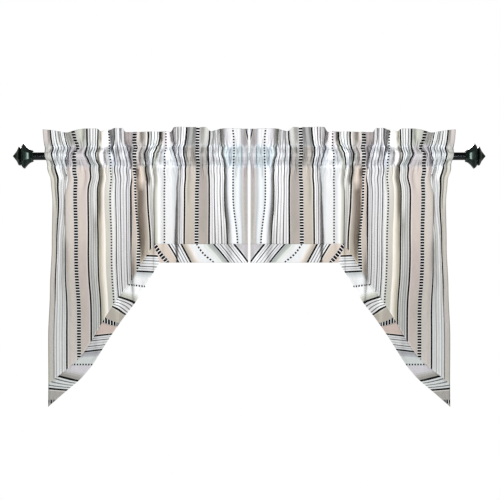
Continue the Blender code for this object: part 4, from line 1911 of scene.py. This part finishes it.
@dataclass
class Studio:
    """Floor, lights and camera."""

    width: float = 1.65
    distance: float = 6.0
    middle: tuple[float, float] = (0.0026, -0.3095)
    sensor: float = 36.0
    floor_height: float = -1.26
    floor_depth: tuple[float, float] = (-3.2, 0.85)
    floor_half: float = 3.0
    ambient: float = 0.25
    ambient_colour: Colour = (1.0, 0.965, 0.91)
    key_spread: float = 90.0
    back: Softbox = Softbox((0.0, 4.0, 1.4), (0.0, 0.0, -0.3), 2.0, 170.0)
    above: Softbox = Softbox((0.0, -2.0, 2.6), (0.0, -0.9, -1.26), 3.0, 260.0)
    # As they hang for the right side
    key: Softbox = Softbox((-2.6, -3.5, 0.1), (0.33, 0.0, 0.0), 1.2, 62.0, (0.965, 0.985, 1.0))
    line: Softbox = Softbox((0.73, -3.0, 0.0), (ROD_HALF, 0.0, 0.0), 0.4, 100.0)
    glint: Softbox = Softbox((-1.0, -0.42, 0.06), (ROD_HALF, 0.0, 0.0), 0.2, 5.0)

    def build(self) -> None:
        """Set up the floor, the surroundings and the camera."""
        self._floor()
        self._surroundings()
        self._camera()
        self.back.hang("back_light")
        bpy.context.scene.view_settings.view_transform = "Standard"

    def light(self, side: Side, pieces: Sequence[Piece], rod: Piece, knob: Piece) -> None:
        """Light one side: its drape from across the window, its end of the rod and its finial.

        Args:
            side: Which side.
            pieces: The drape's pieces.
            rod: The rod, which takes a thin line of light.
            knob: The finial, which takes a soft crescent.
        """
        key = self.key.on_side(side).hang(f"key_{side.word}", pieces)
        key.data.spread = math.radians(self.key_spread)
        self.line.on_side(side).hang(f"line_{side.word}", [rod])
        glint = self.glint.on_side(side).hang(f"glint_{side.word}", [knob]).light_linking
        glint.blocker_collection = glint.receiver_collection

    def _floor(self) -> None:
        """Make the pale floor."""
        half, height = self.floor_half, self.floor_height
        near, far = self.floor_depth
        corners = [(-half, near, height), (half, near, height), (half, far, height), (-half, far, height)]
        mesh = bpy.data.meshes.new("studio_floor")
        mesh.from_pydata(corners, [], [(0, 1, 2, 3)])
        mesh.materials.append(StudioPaper().material())
        floor = made_piece("studio_floor", mesh)
        floor.visible_diffuse = False
        self.above.hang("floor_light", [floor])

    def _surroundings(self) -> None:
        """Light the scene evenly from all round."""
        world = bpy.data.worlds.new("studio")
        world.use_nodes = True
        nodes = world.node_tree.nodes
        tree = NodeTree(world.node_tree)
        tree.feed(nodes["Background"].inputs["Color"], (1.0, 1.0, 1.0))
        sockets = {"Color": self.ambient_colour, "Strength": self.ambient}
        ambient = tree.node("ShaderNodeBackground", {}, sockets)
        ray = tree.node("ShaderNodeLightPath")
        sockets = {
            "Fac": ray.outputs["Is Camera Ray"],
            "Shader": ambient.outputs[0],
            "Shader_001": nodes["Background"].outputs[0],
        }
        either = tree.node("ShaderNodeMixShader", {}, sockets)
        tree.feed(nodes["World Output"].inputs["Surface"], either.outputs[0])
        bpy.context.scene.world = world

    def _camera(self) -> None:
        """Place the camera in front of the drape, level, with a long lens."""
        camera = made_piece("camera", bpy.data.cameras.new("camera"))
        camera.data.sensor_width = self.sensor
        camera.data.lens = self.sensor * self.distance / self.width
        across, up = self.middle
        camera.location = (across, -self.distance, up)
        camera.rotation_euler = (math.radians(90), 0, 0)
        bpy.context.scene.camera = camera


def report(pieces: Sequence[Piece]) -> None:
    """Log the size of each piece."""
    for piece in pieces:
        LOG.info("%s: %d faces", piece.name, len(piece.data.polygons))


def main() -> None:
    """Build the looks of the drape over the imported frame."""
    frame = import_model()
    LOG.info("nodes of the frame: %s", ", ".join(sorted(frame["nodes"])))
    studio = Studio()
    studio.build()
    cloth = StripedCotton("striped cotton", StripeLayout.PANEL).material()
    bias = StripedCotton("striped cotton on the bias", StripeLayout.BORDER, rung=0.80).material()
    thread = SewingThread().material()
    enamel = MetalPaint(
        "gloss black enamel",
        colour=(0.007, 0.008, 0.009),
        high_colour=(0.012, 0.014, 0.015),
        roughness=0.11,
        metallic=0.92,
    )
    green = MetalPaint(
        "dark green paint",
        colour=(0.004, 0.018, 0.013),
        high_colour=(0.010, 0.036, 0.028),
        roughness=0.18,
        metallic=0.35,
    )
    rods = RodSet()
    rod = rods.rod(enamel.material())
    report([rod])
    green_finish = green.material()
    tree = StitchTree()
    hang = Hang()
    for side in Side:
        knob = rods.finial(side, green_finish)
        pieces = Drape(side, hang, Creases()).build(cloth, bias, thread, tree)
        studio.light(side, pieces, rod, knob)
        report([knob, *pieces])


if __name__ == "__main__":
    main()
